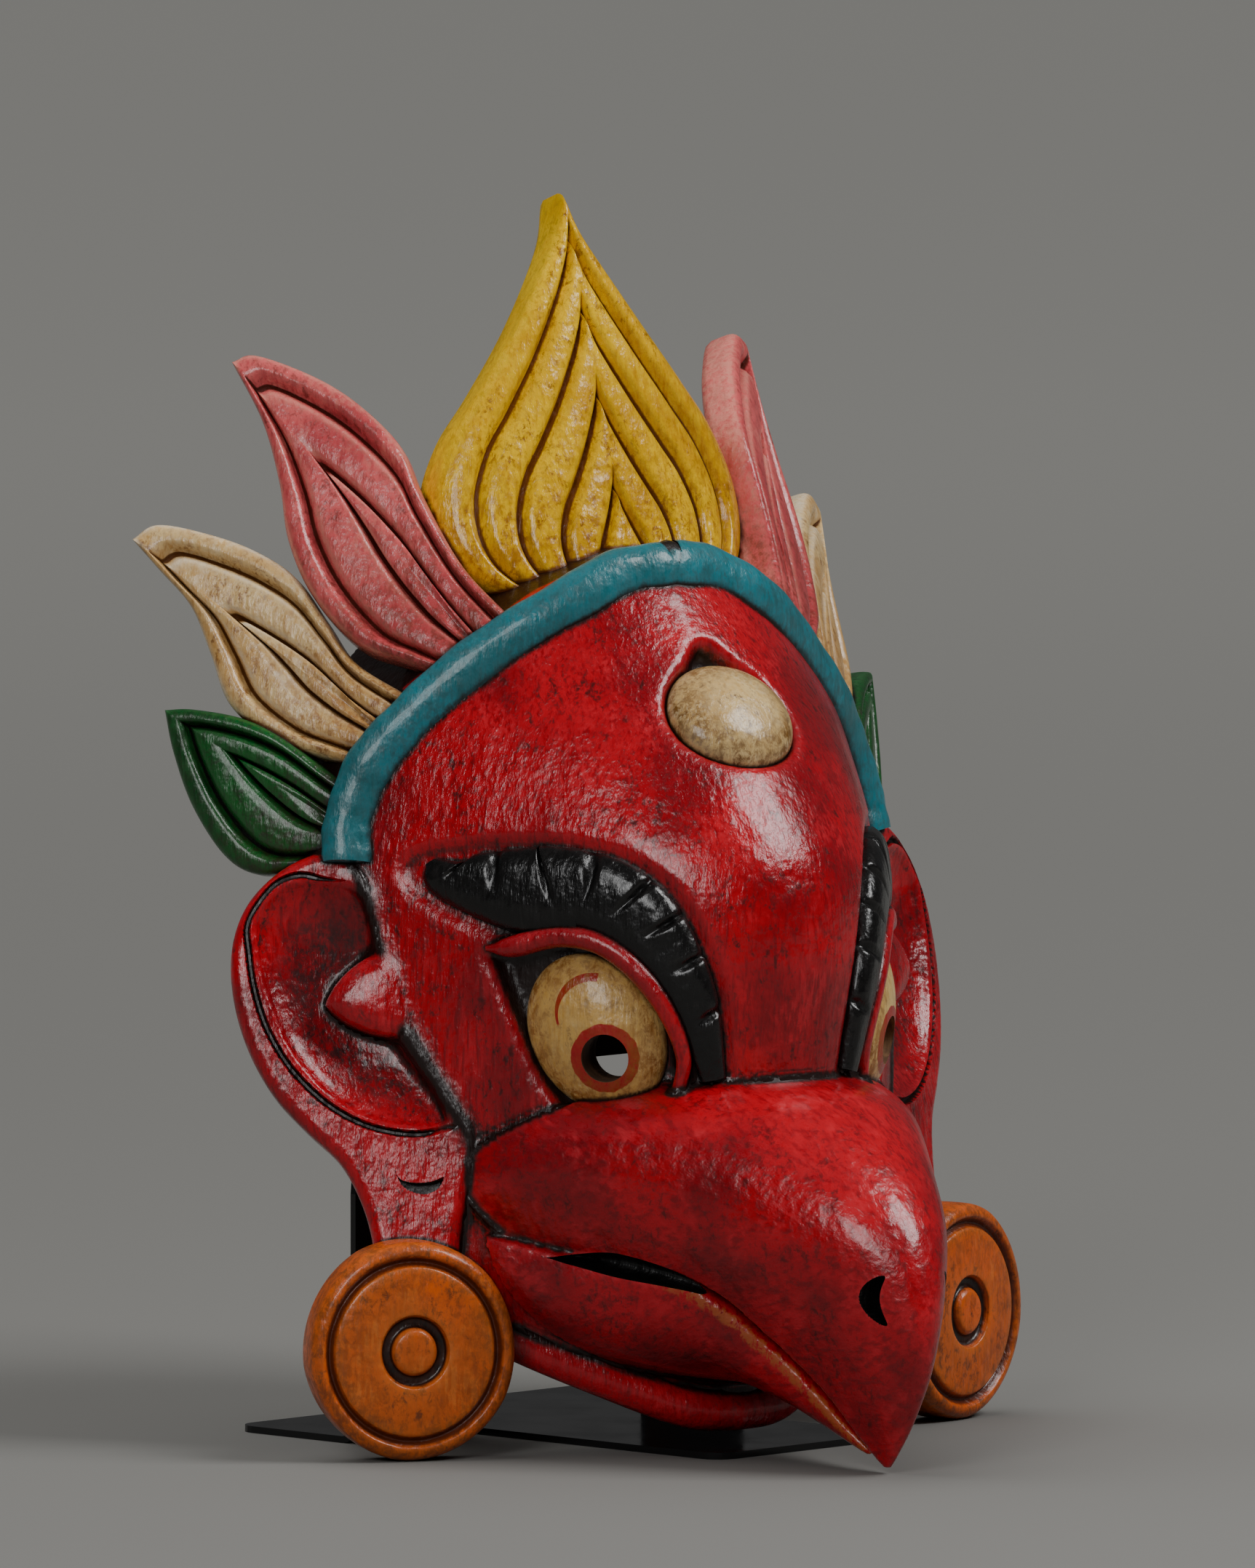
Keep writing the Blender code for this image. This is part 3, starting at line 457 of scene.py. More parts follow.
def shown(obj, material, node="mask"):
    """Shades a finished piece smooth, names the node it replaces, and lets it ride with the frame."""
    mesh = obj.data
    if material is not None:
        mesh.materials.clear()
        mesh.materials.append(material)
    mesh.polygons.foreach_set("use_smooth", np.ones(len(mesh.polygons), bool))
    mesh.set_sharp_from_angle(angle=math.radians(50))
    low, high = (np.array(corner) for corner in CAD_BOX)
    co = np.empty(len(mesh.vertices) * 3, np.float32)
    mesh.vertices.foreach_get("co", co)
    mesh.vertices.foreach_set("co", np.clip(co.reshape(-1, 3), low, high).astype(np.float32).ravel())
    mesh.update()
    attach(obj, "root")
    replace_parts(obj, node)
    return obj


def solid(name, points, faces, material=None):
    """A closed mesh from points in millimetres, with its faces turned outward."""
    mesh = bpy.data.meshes.new(name)
    mesh.from_pydata((np.asarray(points, float) * MM).tolist(), [], faces)
    edit = bmesh.new()
    edit.from_mesh(mesh)
    bmesh.ops.remove_doubles(edit, verts=edit.verts, dist=1e-6)
    bmesh.ops.recalc_face_normals(edit, faces=edit.faces)
    edit.to_mesh(mesh)
    edit.free()
    if material is not None:
        mesh.materials.append(material)
    obj = bpy.data.objects.new(name, mesh)
    bpy.context.scene.collection.objects.link(obj)
    return obj


def loft(name, rings, material=None):
    """A closed solid through rings of as many points each, with one face over each end."""
    rings = np.asarray(rings, float)
    rounds, sides = rings.shape[:2]
    r, i = np.meshgrid(np.arange(rounds - 1), np.arange(sides), indexing="ij")
    j = (i + 1) % sides
    faces = np.stack([r * sides + i, r * sides + j, (r + 1) * sides + j, (r + 1) * sides + i], -1)
    faces = faces.reshape(-1, 4).tolist()
    faces += [tuple(range(sides)), tuple(range((rounds - 1) * sides, rounds * sides))]
    return solid(name, rings.reshape(-1, 3), faces, material)


def mirrored(obj, name):
    """The same piece on the other side of the centre plane."""
    mesh = obj.data.copy()
    mesh.transform(Matrix.Scale(-1, 4, (1, 0, 0)))
    mesh.flip_normals()
    twin = bpy.data.objects.new(name, mesh)
    bpy.context.scene.collection.objects.link(twin)
    return twin


def finished(obj):
    """Turns a piece's modifiers into its plain mesh."""
    graph = bpy.context.evaluated_depsgraph_get()
    mesh = bpy.data.meshes.new_from_object(obj.evaluated_get(graph))
    obj.modifiers.clear()
    obj.data = mesh
    return obj


def carve(obj, cutters, operation="DIFFERENCE"):
    """Cuts or joins exact solids, one after another, and removes them."""
    for cutter in cutters:
        step = obj.modifiers.new("carve", "BOOLEAN")
        step.operation = operation
        step.object = cutter
        step.solver = "EXACT"
        step.material_mode = "TRANSFER"
    finished(obj)
    for cutter in cutters:
        bpy.data.objects.remove(cutter, do_unlink=True)
    return obj


def soften(obj, voxel, rounds):
    """Rounds a piece's edges as a carver's scraper does, by remeshing and smoothing it."""
    step = obj.modifiers.new("remesh", "REMESH")
    step.mode = "VOXEL"
    step.voxel_size = voxel * MM
    rub = obj.modifiers.new("rub", "SMOOTH")
    rub.factor = 0.5
    rub.iterations = rounds
    return finished(obj)


def read_points(mesh):
    """A mesh's points in millimetres."""
    co = np.empty(len(mesh.vertices) * 3, np.float32)
    mesh.vertices.foreach_get("co", co)
    return co.reshape(-1, 3).astype(float) / MM


def keep_value(mesh, name, values):
    """Stores one number for each vertex."""
    layer = mesh.attributes.get(name) or mesh.attributes.new(name, "FLOAT", "POINT")
    layer.data.foreach_set("value", np.ascontiguousarray(values, np.float32))


def keep_place(mesh, name, values):
    """Stores one place for each vertex."""
    layer = mesh.attributes.get(name) or mesh.attributes.new(name, "FLOAT_VECTOR", "POINT")
    layer.data.foreach_set("vector", np.ascontiguousarray(values, np.float32).ravel())


def away_from(points, outline):
    """Signed distances from flat points to a closed outline, negative inside it."""
    outline = np.asarray(outline, float)
    nearest = np.full(len(points), 1e9)
    inside = np.zeros(len(points), bool)
    for a, b in zip(outline, np.roll(outline, -1, axis=0)):
        ab = b - a
        t = np.clip(((points - a) @ ab) / (ab @ ab), 0, 1)
        nearest = np.minimum(nearest, np.linalg.norm(points - a - t[:, None] * ab, axis=1))
        crosses = (a[1] > points[:, 1]) != (b[1] > points[:, 1])
        where = a[0] + (points[:, 1] - a[1]) * ab[0] / (ab[1] if ab[1] else 1e-9)
        inside ^= crosses & (points[:, 0] < where)
    return np.where(inside, -nearest, nearest)


# Materials

def tint(value):
    """A paint of the panel by its name, or a hex colour, as linear RGBA."""
    return linear(value) if value.startswith("#") else tuple(getattr(bpy.context.scene.mask_paints, value))


def mixed(first, second, share):
    """A colour part of the way from one colour to another."""
    return [a + (b - a) * share for a, b in zip(first, second)]


def fill(tree, node, inputs):
    """Sets a node's inputs by their names or numbers, or in turn, to values or to other nodes' sockets."""
    for name, value in inputs.items() if isinstance(inputs, dict) else enumerate(inputs):
        if isinstance(value, bpy.types.NodeSocket):
            tree.links.new(value, node.inputs[name])
        else:
            node.inputs[name].default_value = value


def add(tree, kind, inputs=(), out=0, **settings):
    """Adds a node with its settings, values and links, and gives one of its outputs."""
    made = tree.nodes.new(kind)
    for name, value in settings.items():
        setattr(made, name, value)
    fill(tree, made, inputs)
    return made.outputs[out]


def coats(tree, tone, *layers):
    """Lays coats of paint over a tone, each as strong as the product of its ranges and values."""
    for paint, *terms in layers:
        share = 1.0
        for term in terms:
            if isinstance(term, tuple):
                term = add(tree, "ShaderNodeMapRange", term, **SOFTLY)
            share = add(tree, "ShaderNodeMath", (share, term), operation="MULTIPLY")
        tone = add(tree, "ShaderNodeMix", {0: share, 6: tone, 7: paint}, 2, data_type="RGBA")
    return tone


def new_finish(name):
    """An empty finish, with its tree, its shader and the piece's own places."""
    material = bpy.data.materials.new(name)
    material.use_nodes = True
    tree = material.node_tree
    return material, tree, tree.nodes["Principled BSDF"], add(tree, "ShaderNodeTexCoord", out="Object")


def lacquer(name, extra=None, strokes_along=(1, 1, 7)):
    """Brushed oil paint on carved wood under varnish, with dark wax and painted shade in its creases and
    hollows, patina and painted shade where a piece keeps them, and edges paled as rubbed paint and painted
    highlight.
    """
    if name in bpy.data.materials:
        return bpy.data.materials[name]
    *tints, edge_wear_and_highlight, speckle, gloss = FINISHES[name]
    main, deep, pale, wax, shade_and_patina_tone = (tint(value) for value in tints)
    material, tree, shader, places = new_finish(name)
    patterns = []
    for size, stretch, detail, roughness, distortion in (
        # Clouds of uneven paint
        (34, (1, 1, 1), 3, 0.5, 0.0),
        # Patches where the paint is thin or dusty
        (14, (1, 1, 1), 4, 0.6, 0.5),
        # Brush strokes
        (1.1, strokes_along, 3, 0.6, 0.2),
        # Flecks of wear and wax
        (2.2, (1, 1, 1.5), 8, 0.78, 0.4),
        # Ripples in the varnish
        (3.0, (1, 1, 1), 2, 0.5, 0.0),
        # Chisel marks under the paint
        (8, (1, 1, 1.6), 2, 0.5, 0.0),
    ):
        sized = add(tree, "ShaderNodeMapping", {"Vector": places, "Scale": [1 / (MM * s) for s in stretch]})
        grains = {"Vector": sized, "Scale": 1 / size, "Detail": detail, "Roughness": roughness}
        patterns.append(add(tree, "ShaderNodeTexNoise", {**grains, "Distortion": distortion}))
    cloud, patches, strokes, flecks, ripples, chisel = patterns
    # Kept with each piece: pale edges, patina and painted shade, and creases and hollows for dark wax and
    # painted shade
    edge, soot, crease, hollow = (
        add(tree, "ShaderNodeAttribute", out="Fac", attribute_name=kept)
        for kept in ("edge", "soot", "crease", "hollow")
    )
    tone = coats(
        tree,
        main,
        (deep, (cloud, 0.4, 0.62, 0, 0.6)),
        (deep, (strokes, 0.46, 0.7, 0, 0.55)),
        (pale, (patches, 0.5, 0.66), (strokes, 0.56, 0.4, 0, 0.3)),
        (mixed(deep, wax, 0.75), (patches, 0.58, 0.42), (flecks, 0.5, 0.62, 0, speckle)),
        # Convex edges paled: rubbed paint and painted highlight
        (pale, edge, (flecks, 0.38, 0.58, 0.2 * edge_wear_and_highlight, edge_wear_and_highlight)),
    )
    if extra is not None:
        tone = extra(tree, tone, flecks)
    # Creases and hollows darkened in the wax colour: dark wax and painted shade
    hollows = add(tree, "ShaderNodeMath", (crease, hollow), operation="MAXIMUM")
    least = add(tree, "ShaderNodeMath", (hollows, 0.4), operation="SUBTRACT")
    darkening_reach = add(tree, "ShaderNodeMath", (flecks, 0.7, least), operation="MULTIPLY_ADD")
    darkening = add(tree, "ShaderNodeMapRange", (darkening_reach, 0.08, 0.7, 0, 1), **SOFTLY)
    # Patina and painted shade where a piece keeps them, then dark wax and painted shade in creases and
    # hollows
    tone = coats(
        tree, tone, (shade_and_patina_tone, soot, (patches, 0.32, 0.62, 0.5, 1), (flecks, 0.4, 0.58, 0.3, 1)), (wax, darkening)
    )
    rough = add(tree, "ShaderNodeMapRange", (flecks, 0.3, 0.7, gloss, gloss + 0.14), **SOFTLY)
    normal = None
    for height, strength, depth in ((chisel, 0.8, 1.0), (ripples, 0.5, 0.7), (strokes, 0.6, 0.4)):
        bumps = {"Height": height, "Strength": strength, "Distance": depth * MM}
        if normal is not None:
            bumps["Normal"] = normal
        normal = add(tree, "ShaderNodeBump", bumps)
    finish = {
        "Base Color": tone,
        "Roughness": add(tree, "ShaderNodeMath", (darkening, 0.12, rough), operation="MULTIPLY_ADD"),
        "IOR": 1.42,
        "Coat Weight": 0.22,
        "Coat Roughness": 0.08,
        "Normal": normal,
    }
    fill(tree, shader, finish)
    return material


def carved_wood():
    """Bare softwood of the back, cut with a gouge and darkened by handling, with its grain upright."""
    name = "carved bare wood"
    if name in bpy.data.materials:
        return bpy.data.materials[name]
    material, tree, shader, places = new_finish(name)
    sized = add(tree, "ShaderNodeMapping", {"Vector": places, "Scale": [1 / (MM * s) for s in (1, 1, 14)]})
    fibres = {"Vector": sized, "Scale": 1 / 1.6, "Detail": 6, "Roughness": 0.65, "Distortion": 0.3}
    grain = add(tree, "ShaderNodeTexNoise", fibres)
    stains = {"Vector": places, "Scale": 1 / (30 * MM), "Detail": 3, "Roughness": 0.5}
    cloud = add(tree, "ShaderNodeTexNoise", stains)
    gouges = add(tree, "ShaderNodeTexVoronoi", {"Vector": places, "Scale": 1 / (9 * MM)}, feature="SMOOTH_F1")
    cuts = add(tree, "ShaderNodeBump", {"Height": gouges, "Strength": 0.8, "Distance": 2 * MM})
    raised = {"Height": grain, "Strength": 0.4, "Distance": 0.4 * MM, "Normal": cuts}
    browned = coats(
        tree,
        linear("#5E3F26"),
        (linear("#8A6440"), (grain, 0.35, 0.65)),
        (linear("#3A2416"), (cloud, 0.4, 0.7, 0, 0.6)),
    )
    fine = add(tree, "ShaderNodeBump", raised)
    fill(tree, shader, {"Base Color": browned, "Roughness": 0.7, "Normal": fine})
    return material


# Pieces

def face_relief(points):
    """How far the head form moves inward at each point, and where its sockets and pit are darkened with dark
    paint and painted shade.
    """
    x, z = np.abs(points[:, 0]), points[:, 2]
    flat = np.stack([x, z], 1)
    depth = np.zeros(len(points))
    front = (points[:, 1] < 60) & (z > 85) & (z < 232)
    socket = np.full(len(points), 50.0)
    socket[front] = away_from(flat[front], through((*SOCKET, SOCKET[0]), 60)[:-1])
    depth += SOCKET_DEPTH * smooth_step(-socket, -0.6, 2.0)
    line = through(BROW, 90)
    near = np.full(len(points), 50.0)
    for cx, cz, half in line:
        near = np.minimum(near, np.hypot(flat[:, 0] - cx, flat[:, 1] - cz) - half)
    depth += BROW_BED_DEPTH * smooth_step(-near, -2.8, -0.8)
    axes = face_axes(*THIRD_EYE_PLACE)
    centre = head_front(*THIRD_EYE_PLACE)
    u = (points - centre) @ axes[0] / PIT_RADII[0]
    v = (points - centre) @ axes[1] / PIT_RADII[1]
    turn = np.arctan2(v, u)
    edge = 1 + 0.3 * np.maximum(np.sin(turn), 0) ** 24
    out = (np.hypot(u, v) / edge - 1) * 18
    out[points[:, 1] > 40] = 50
    depth += PIT_DEPTH * smooth_step(-out, -0.4, 3.2)
    return depth, np.maximum(smooth_step(-socket, 0.5, 2.5), smooth_step(-out, 0, 3))


def face_ring(z, columns, walls):
    """One level of the head form: its front, its sides and its back."""
    half, front, edge, rim, fullness = (float(v) for v in head_sizes(z))
    turns = np.linspace(-math.pi / 2, math.pi / 2, columns)
    ring = np.stack(
        [
            half * np.sin(turns),
            edge - (edge - front) * np.maximum(np.cos(turns), 0) ** fullness,
            np.full(columns, z),
        ],
        -1,
    )
    back = np.linspace(edge, rim, walls + 1)[1:]
    right = np.stack([np.full(walls, half), back, np.full(walls, z)], -1)
    left = right[::-1] * (-1, 1, 1)
    return np.vstack([ring, right, left])


def hollow_form(wall, wood):
    """The hollow behind the face, as deep as the wall of wood leaves it."""
    rings = []
    turns = np.linspace(-math.pi / 2, math.pi / 2, 60)
    for z in np.linspace(*HOLLOW_LEVELS, 50):
        half, front, edge, _, fullness = (float(v) for v in head_sizes(z))
        # The wood stays thicker behind the bowls of the ears
        ears = EAR_WOOD * smooth_step(z, *EAR_WOOD_LOW) * smooth_step(z, *EAR_WOOD_HIGH)
        half, front = max(half - wall - ears, 1.0), min(front + wall, edge - 1.0)
        depth = (edge - front) * np.maximum(np.cos(turns), 0) ** fullness
        arc = np.stack([half * np.sin(turns), edge - depth, 0 * turns + z], -1)
        rings.append(np.vstack([arc, ((half, HOLLOW_BACK, z), (-half, HOLLOW_BACK, z))]))
    return loft("hollow", rings, wood)


def pupil_form(side, wood):
    """The bore of a pierced pupil, from in front of the eye into the hollow."""
    axes = face_axes(*PUPIL_PLACE)
    place = head_front(*PUPIL_PLACE)
    turns = np.linspace(0, 2 * math.pi, 48, endpoint=False)
    wide, tall = sizes("pupil_width") / 2, sizes("pupil_height") / 2
    rings = []
    for depth, flare in ((14, 1.0), (-8, 1.0), (-36, 1.3)):
        rim = wide * np.cos(turns)[:, None] * axes[0] + tall * np.sin(turns)[:, None] * axes[1]
        rings.append((place + depth * axes[2] + flare * rim) * (side, 1, 1))
    return loft("pupil", rings, wood)


def ear_axes():
    """Axes of the right ear: away from the head, up and outward."""
    outward = unit(EAR_NORMAL)
    across = unit(np.cross((0, 0, 1), outward))
    across = across if across[0] > 0 else -across
    up = np.cross(outward, across)
    return across, up if up[2] > 0 else -up, outward


def on_ear(flat, depth):
    """Places on the right ear from flat places and a height over its front."""
    across, up, outward = ear_axes()
    flat = np.atleast_2d(np.asarray(flat, float))
    return np.array(EAR_ROOT, float) + flat[:, :1] * across + flat[:, 1:] * up + depth * outward


def inset(outline, distance):
    """A flat outline moved in by a distance along its own normals."""
    ahead = np.roll(outline, -1, axis=0) - np.roll(outline, 1, axis=0)
    normals = unit(np.stack([-ahead[:, 1], ahead[:, 0]], axis=1))
    area = np.sum(outline[:, 0] * np.roll(outline[:, 1], -1) - np.roll(outline[:, 0], -1) * outline[:, 1])
    return outline + math.copysign(distance, area) * normals


def bowl_form(grow=0.0, deeper=0.0):
    """The hollow of the right ear, deepest in front of its flap."""
    outline = inset(through((*CONCHA_OUTLINE, CONCHA_OUTLINE[0]), 120)[:-1], -grow)
    middle = np.array(CONCHA_FOCUS, float)
    rings = [on_ear(middle + k * (outline - middle), depth - deeper) for k, depth in CONCHA_LEVELS]
    return loft("bowl", rings)


def flap_form():
    """The pointed flap that runs from the right cheek over the ear's hollow."""
    middle = np.array(TRAGUS_MIDDLE, float)
    corners = through((*TRAGUS, TRAGUS[0]), 81)[:-1]
    return loft("flap", [on_ear(middle + k * (corners - middle), depth) for k, depth in TRAGUS_LEVELS])


class MASK_OT_face(bpy.types.Operator):
    """Carves the face: head form, eye sockets, brow beds, third eye's pit, hollow and pupils"""

    bl_idname = "mask.face"
    bl_label = "Face"

    def execute(self, context):
        red, wood = lacquer("red lacquer"), carved_wood()
        levels = np.linspace(HEAD_LEVELS[0][0], HEAD_LEVELS[-1][0], 210)
        rings = np.array([face_ring(z, 230, 14) for z in levels])
        points = rings.reshape(-1, 3)
        depth = face_relief(points)[0]
        inward = -head_normal(points[:, 0], points[:, 2])
        points = points + depth[:, None] * inward
        face = loft("face", points.reshape(rings.shape))
        bowl, flap = bowl_form(-0.4, 3.2), flap_form()
        carve(face, [mirrored(bowl, "left bowl"), bowl])
        carve(face, [mirrored(flap, "left flap"), flap], "UNION")
        soften(face, *FACE_SCRAPING)
        face.data.materials.clear()
        face.data.materials.append(red)
        carve(face, [hollow_form(sizes("wall"), wood), pupil_form(1, wood), pupil_form(-1, wood)])
        # Sockets and the third eye's pit darkened: dark paint and painted shade
        keep_value(face.data, "soot", 0.9 * face_relief(read_points(face.data))[1])
        shown(face, None)
        return {"FINISHED"}


def beak_rings(stations, count, sides, inside_y, inside_z):
    """Rings of a half of the beak: its arch, closed by a shallow inside."""
    rings = []
    for row in through(stations, count):
        crown_y, crown_z, half, edge_y, edge_z = row[:5]
        fullness = row[5] if len(row) > 5 else LOWER_BEAK_FULLNESS
        turns = np.linspace(-math.pi / 2, math.pi / 2, sides)
        rise = np.maximum(np.cos(turns), 0) ** fullness
        arch = np.stack(
            [half * np.sin(turns), edge_y + (crown_y - edge_y) * rise, edge_z + (crown_z - edge_z) * rise], -1
        )
        across = np.linspace(0.85, -0.85, 14)
        lift = np.minimum(1.0, (1 - np.abs(across)) / 0.5)
        inside = np.stack([half * across, edge_y + inside_y * lift, edge_z + inside_z * lift], -1)
        rings.append(np.vstack([arch, inside]))
    return rings


def mouth_form(side, black):
    """The dark slit between the two halves of the beak, widest at its corner."""
    half = through([MOUTH_CORNER, *((h, y, z) for _, _, h, y, z, _ in UPPER_BEAK[3:])], 110)
    rings = []
    for i, (x, y, z) in enumerate(half):
        share = i / (len(half) - 1)
        wide = SLIT_HALF * smooth_step(share, 0, 0.16) * smooth_step(share, 0.5, 0.16)
        wide = wide + 0.55 * smooth_step(share, 0, 0.05)
        deep = SLIT_DEPTH * (1 - 0.75 * share)
        turns = np.linspace(0, 2 * math.pi, 20, endpoint=False)
        outward = unit((1, -0.5, 0))
        centre = np.array((x, y, z)) + SLIT_SHIFT
        rings.append(
            (centre + deep * np.cos(turns)[:, None] * outward + wide * np.sin(turns)[:, None] * (0, 0, 1))
            * (side, 1, 1)
        )
    return loft("slit", rings, black)


def nostril_form(side, black):
    """A crescent pit near the beak's tip, its horns forward."""
    turns = np.linspace(-0.5 * math.pi, 1.5 * math.pi, 48, endpoint=False)
    forward = NOSTRIL_BOW * np.sin(turns) ** 2 - NOSTRIL_WIDTH * np.cos(turns)
    x, y, z = NOSTRIL_PLACE
    rings = []
    for depth in (-7, 9):
        ring = np.stack([0 * turns + x + depth, y - forward, z + NOSTRIL_HEIGHT * np.sin(turns)], -1)
        rings.append(ring * (side, 1, 1))
    return loft("nostril", rings, black)


class MASK_OT_beak(bpy.types.Operator):
    """Carves the hooked upper beak with its nostrils, and the lower beak under the mouth's slit"""

    bl_idname = "mask.beak"
    bl_label = "Beak"

    def lip(self, tree, tone, flecks):
        """An orange line along the lower beak's rim, broken by flecks: rubbed bare wood and a painted
        highlight.
        """
        near = add(tree, "ShaderNodeAttribute", out="Fac", attribute_name="lip")
        broken = add(tree, "ShaderNodeMapRange", (flecks, 0.4, 0.56, 0.1, 1), **SOFTLY)
        lip_wear_and_highlight = add(tree, "ShaderNodeMath", (near, broken), operation="MULTIPLY")
        # Orange line of rubbed bare wood and painted highlight
        return coats(tree, tone, (linear("#A8552A"), (lip_wear_and_highlight, 0.15, 0.6, 0, 0.85)))

    def execute(self, context):
        black, wood = lacquer("black paint"), carved_wood()
        # The strokes run forward along the beak
        red_with_lip_highlight = lacquer("red lacquer with a rubbed lip", self.lip, (1.5, 7, 2))
        beak = loft("beak", beak_rings(UPPER_BEAK, 170, 120, 1.5, 1.0))
        carve(beak, [loft("lower", beak_rings(LOWER_BEAK, 120, 90, 3.0, 3.5))], "UNION")
        soften(beak, *BEAK_SCRAPING)
        beak.data.materials.clear()
        beak.data.materials.append(red_with_lip_highlight)
        carve(beak, [form(side, black) for form in (nostril_form, mouth_form) for side in (1, -1)])
        carve(beak, [hollow_form(sizes("wall"), wood)])
        points = read_points(beak.data)
        points[:, 0] = np.abs(points[:, 0])
        # Nearness to the lower beak's rim, for its orange line of rubbed wood and painted highlight
        rim = through([row[2:] for row in LOWER_BEAK], 160) - (0, 0, 1.5)
        away = np.array([np.linalg.norm(rim - p, axis=1).min() for p in points])
        ahead = smooth_step(points[:, 1], -30, -45)
        keep_value(beak.data, "lip", np.exp(-((away / 2.0) ** 2)) * ahead)
        shown(beak, None)
        return {"FINISHED"}


def bar_tree():
    """Geometry Nodes for a rounded bar along a drawn path, with stored half widths and a facing side."""
    name = "bar along a path"
    if name in bpy.data.node_groups:
        return bpy.data.node_groups[name]
    tree = bpy.data.node_groups.new(name, "GeometryNodeTree")
    for label, way, kind in (
        ("Path", "INPUT", "Geometry"),
        ("Sides", "INPUT", "Int"),
        ("Rise share", "INPUT", "Float"),
        ("Paint", "INPUT", "Material"),
        ("Bar", "OUTPUT", "Geometry"),
    ):
        tree.interface.new_socket(label, in_out=way, socket_type=f"NodeSocket{kind}")
    given = tree.nodes.new("NodeGroupInput").outputs
    reach = add(tree, "GeometryNodeInputNamedAttribute", {"Name": "reach"}, data_type="FLOAT")
    lift = add(tree, "GeometryNodeInputNamedAttribute", {"Name": "lift"}, data_type="FLOAT_VECTOR")
    path = add(tree, "GeometryNodeMeshToCurve", {"Mesh": given["Path"]})
    faced = add(tree, "GeometryNodeSetCurveNormal", {"Curve": path, "Normal": lift}, mode="FREE")
    ring = add(tree, "GeometryNodeCurvePrimitiveCircle", {"Resolution": given["Sides"], "Radius": 1.0})
    size = add(tree, "ShaderNodeCombineXYZ", (given["Rise share"], 1.0, 1.0))
    flat = add(tree, "GeometryNodeTransform", {"Geometry": ring, "Scale": size})
    sweep = {"Curve": faced, "Profile Curve": flat, "Scale": reach, "Fill Caps": True}
    swept = add(tree, "GeometryNodeCurveToMesh", sweep)
    real = add(tree, "GeometryNodeRealizeInstances", {"Geometry": swept})
    painted = add(tree, "GeometryNodeSetMaterial", {"Geometry": real, "Material": given["Paint"]})
    fill(tree, tree.nodes.new("NodeGroupOutput"), [painted])
    return tree


def bar(name, path, reach, lift, rise_share, material, sides=20):
    """A rounded bar along a path in millimetres, made by the node tree and turned into a plain mesh."""
    mesh = bpy.data.meshes.new(name)
    mesh.from_pydata((path * MM).tolist(), [(i, i + 1) for i in range(len(path) - 1)], [])
    keep_value(mesh, "reach", np.asarray(reach) * MM)
    keep_place(mesh, "lift", lift)
    obj = bpy.data.objects.new(name, mesh)
    bpy.context.scene.collection.objects.link(obj)
    tree = bar_tree()
    step = obj.modifiers.new("bar", "NODES")
    step.node_group = tree
    values = {"Sides": sides, "Rise share": rise_share, "Paint": material}
    for item in tree.interface.items_tree:
        if item.name in values:
            step[item.identifier] = values[item.name]
    finished(obj)
    edit = bmesh.new()
    edit.from_mesh(obj.data)
    bmesh.ops.recalc_face_normals(edit, faces=edit.faces)
    edit.to_mesh(obj.data)
    edit.free()
    return obj


class MASK_OT_band(bpy.types.Operator):
    """Lays the headband along the edge of the face"""

    bl_idname = "mask.band"
    bl_label = "Headband"

    def execute(self, context):
        edge = through(BAND_EDGE, 120)
        ahead = np.gradient(edge, axis=0)
        inward = np.stack([-ahead[:, 2], 0 * ahead[:, 0], ahead[:, 0]], 1)
        inward /= np.hypot(ahead[:, 0], ahead[:, 2])[:, None]
        inward *= np.where(inward[:, 2] > 0, -1, 1)[:, None]
        place = edge + (0.5 * sizes("band_width") - sizes("band_overhang")) * inward
        path = head_front(place[:, 0], place[:, 2])
        path[0, 0] = 0.0
        lift = unit(np.stack([-0.4 * inward[:, 0], 0 * path[:, 0] - 0.9, 0 * path[:, 0] + 0.3], 1))
        path = np.vstack([path[:0:-1] * (-1, 1, 1), path])
        lift = np.vstack([lift[:0:-1] * (-1, 1, 1), lift])
        half = sizes("band_width") / 2
        steps = np.arange(len(path))
        # A hand-cut band is a little uneven in width
        reach = half * (1 + 0.03 * np.sin(steps * 0.21) + 0.02 * np.sin(steps * 0.57))
        band = bar("headband", path, reach, lift, sizes("band_rise") / half, lacquer("blue paint"), 28)
        keep_value(band.data, "soot", np.full(len(band.data.vertices), 0.6))
        shown(band, None)
        return {"FINISHED"}


class MASK_OT_brows(bpy.types.Operator):
    """Raises the black brows, with notches cut across them from their upper edge"""

    bl_idname = "mask.brows"
    bl_label = "Brows"

    def execute(self, context):
        count, sections = 260, 44
        line = through(BROW, count)
        ahead = unit(np.gradient(line[:, :2], axis=0))
        across = np.stack([-ahead[:, 1], ahead[:, 0]], 1)
        across *= np.where(across[:, 1:] > 0, 1, -1)
        run = np.linspace(0, 1, count)
        share = np.linspace(-1, 1, sections)
        rings = []
        for i in range(count):
            cut = 0.0
            lean = run[i] + 0.012 * (share - 1)
            for notch in BROW_NOTCHES:
                cut = cut + np.exp(-(((lean - notch) / NOTCH_SHARE) ** 2))
            cut = cut * smooth_step(share, -0.35, 0.7)
            flat = line[i, :2] + share[:, None] * line[i, 2] * across[i]
            rise = sizes("brow_rise") * min(1.0, 0.35 + line[i, 2] / 8) * (1 - np.abs(share) ** 3.5) ** 0.6
            surface = head_front(flat[:, 0], flat[:, 1])
            up = head_normal(flat[:, 0], flat[:, 1])
            top = surface + (rise - NOTCH_DEPTH * cut - 0.6)[:, None] * up
            low = (surface - 4.0 * up)[::-1]
            rings.append(np.vstack([top, low]))
        right = loft("brow_right", rings)
        left = mirrored(right, "brow_left")
        for obj in (right, left):
            shown(obj, lacquer("black paint"))
        return {"FINISHED"}


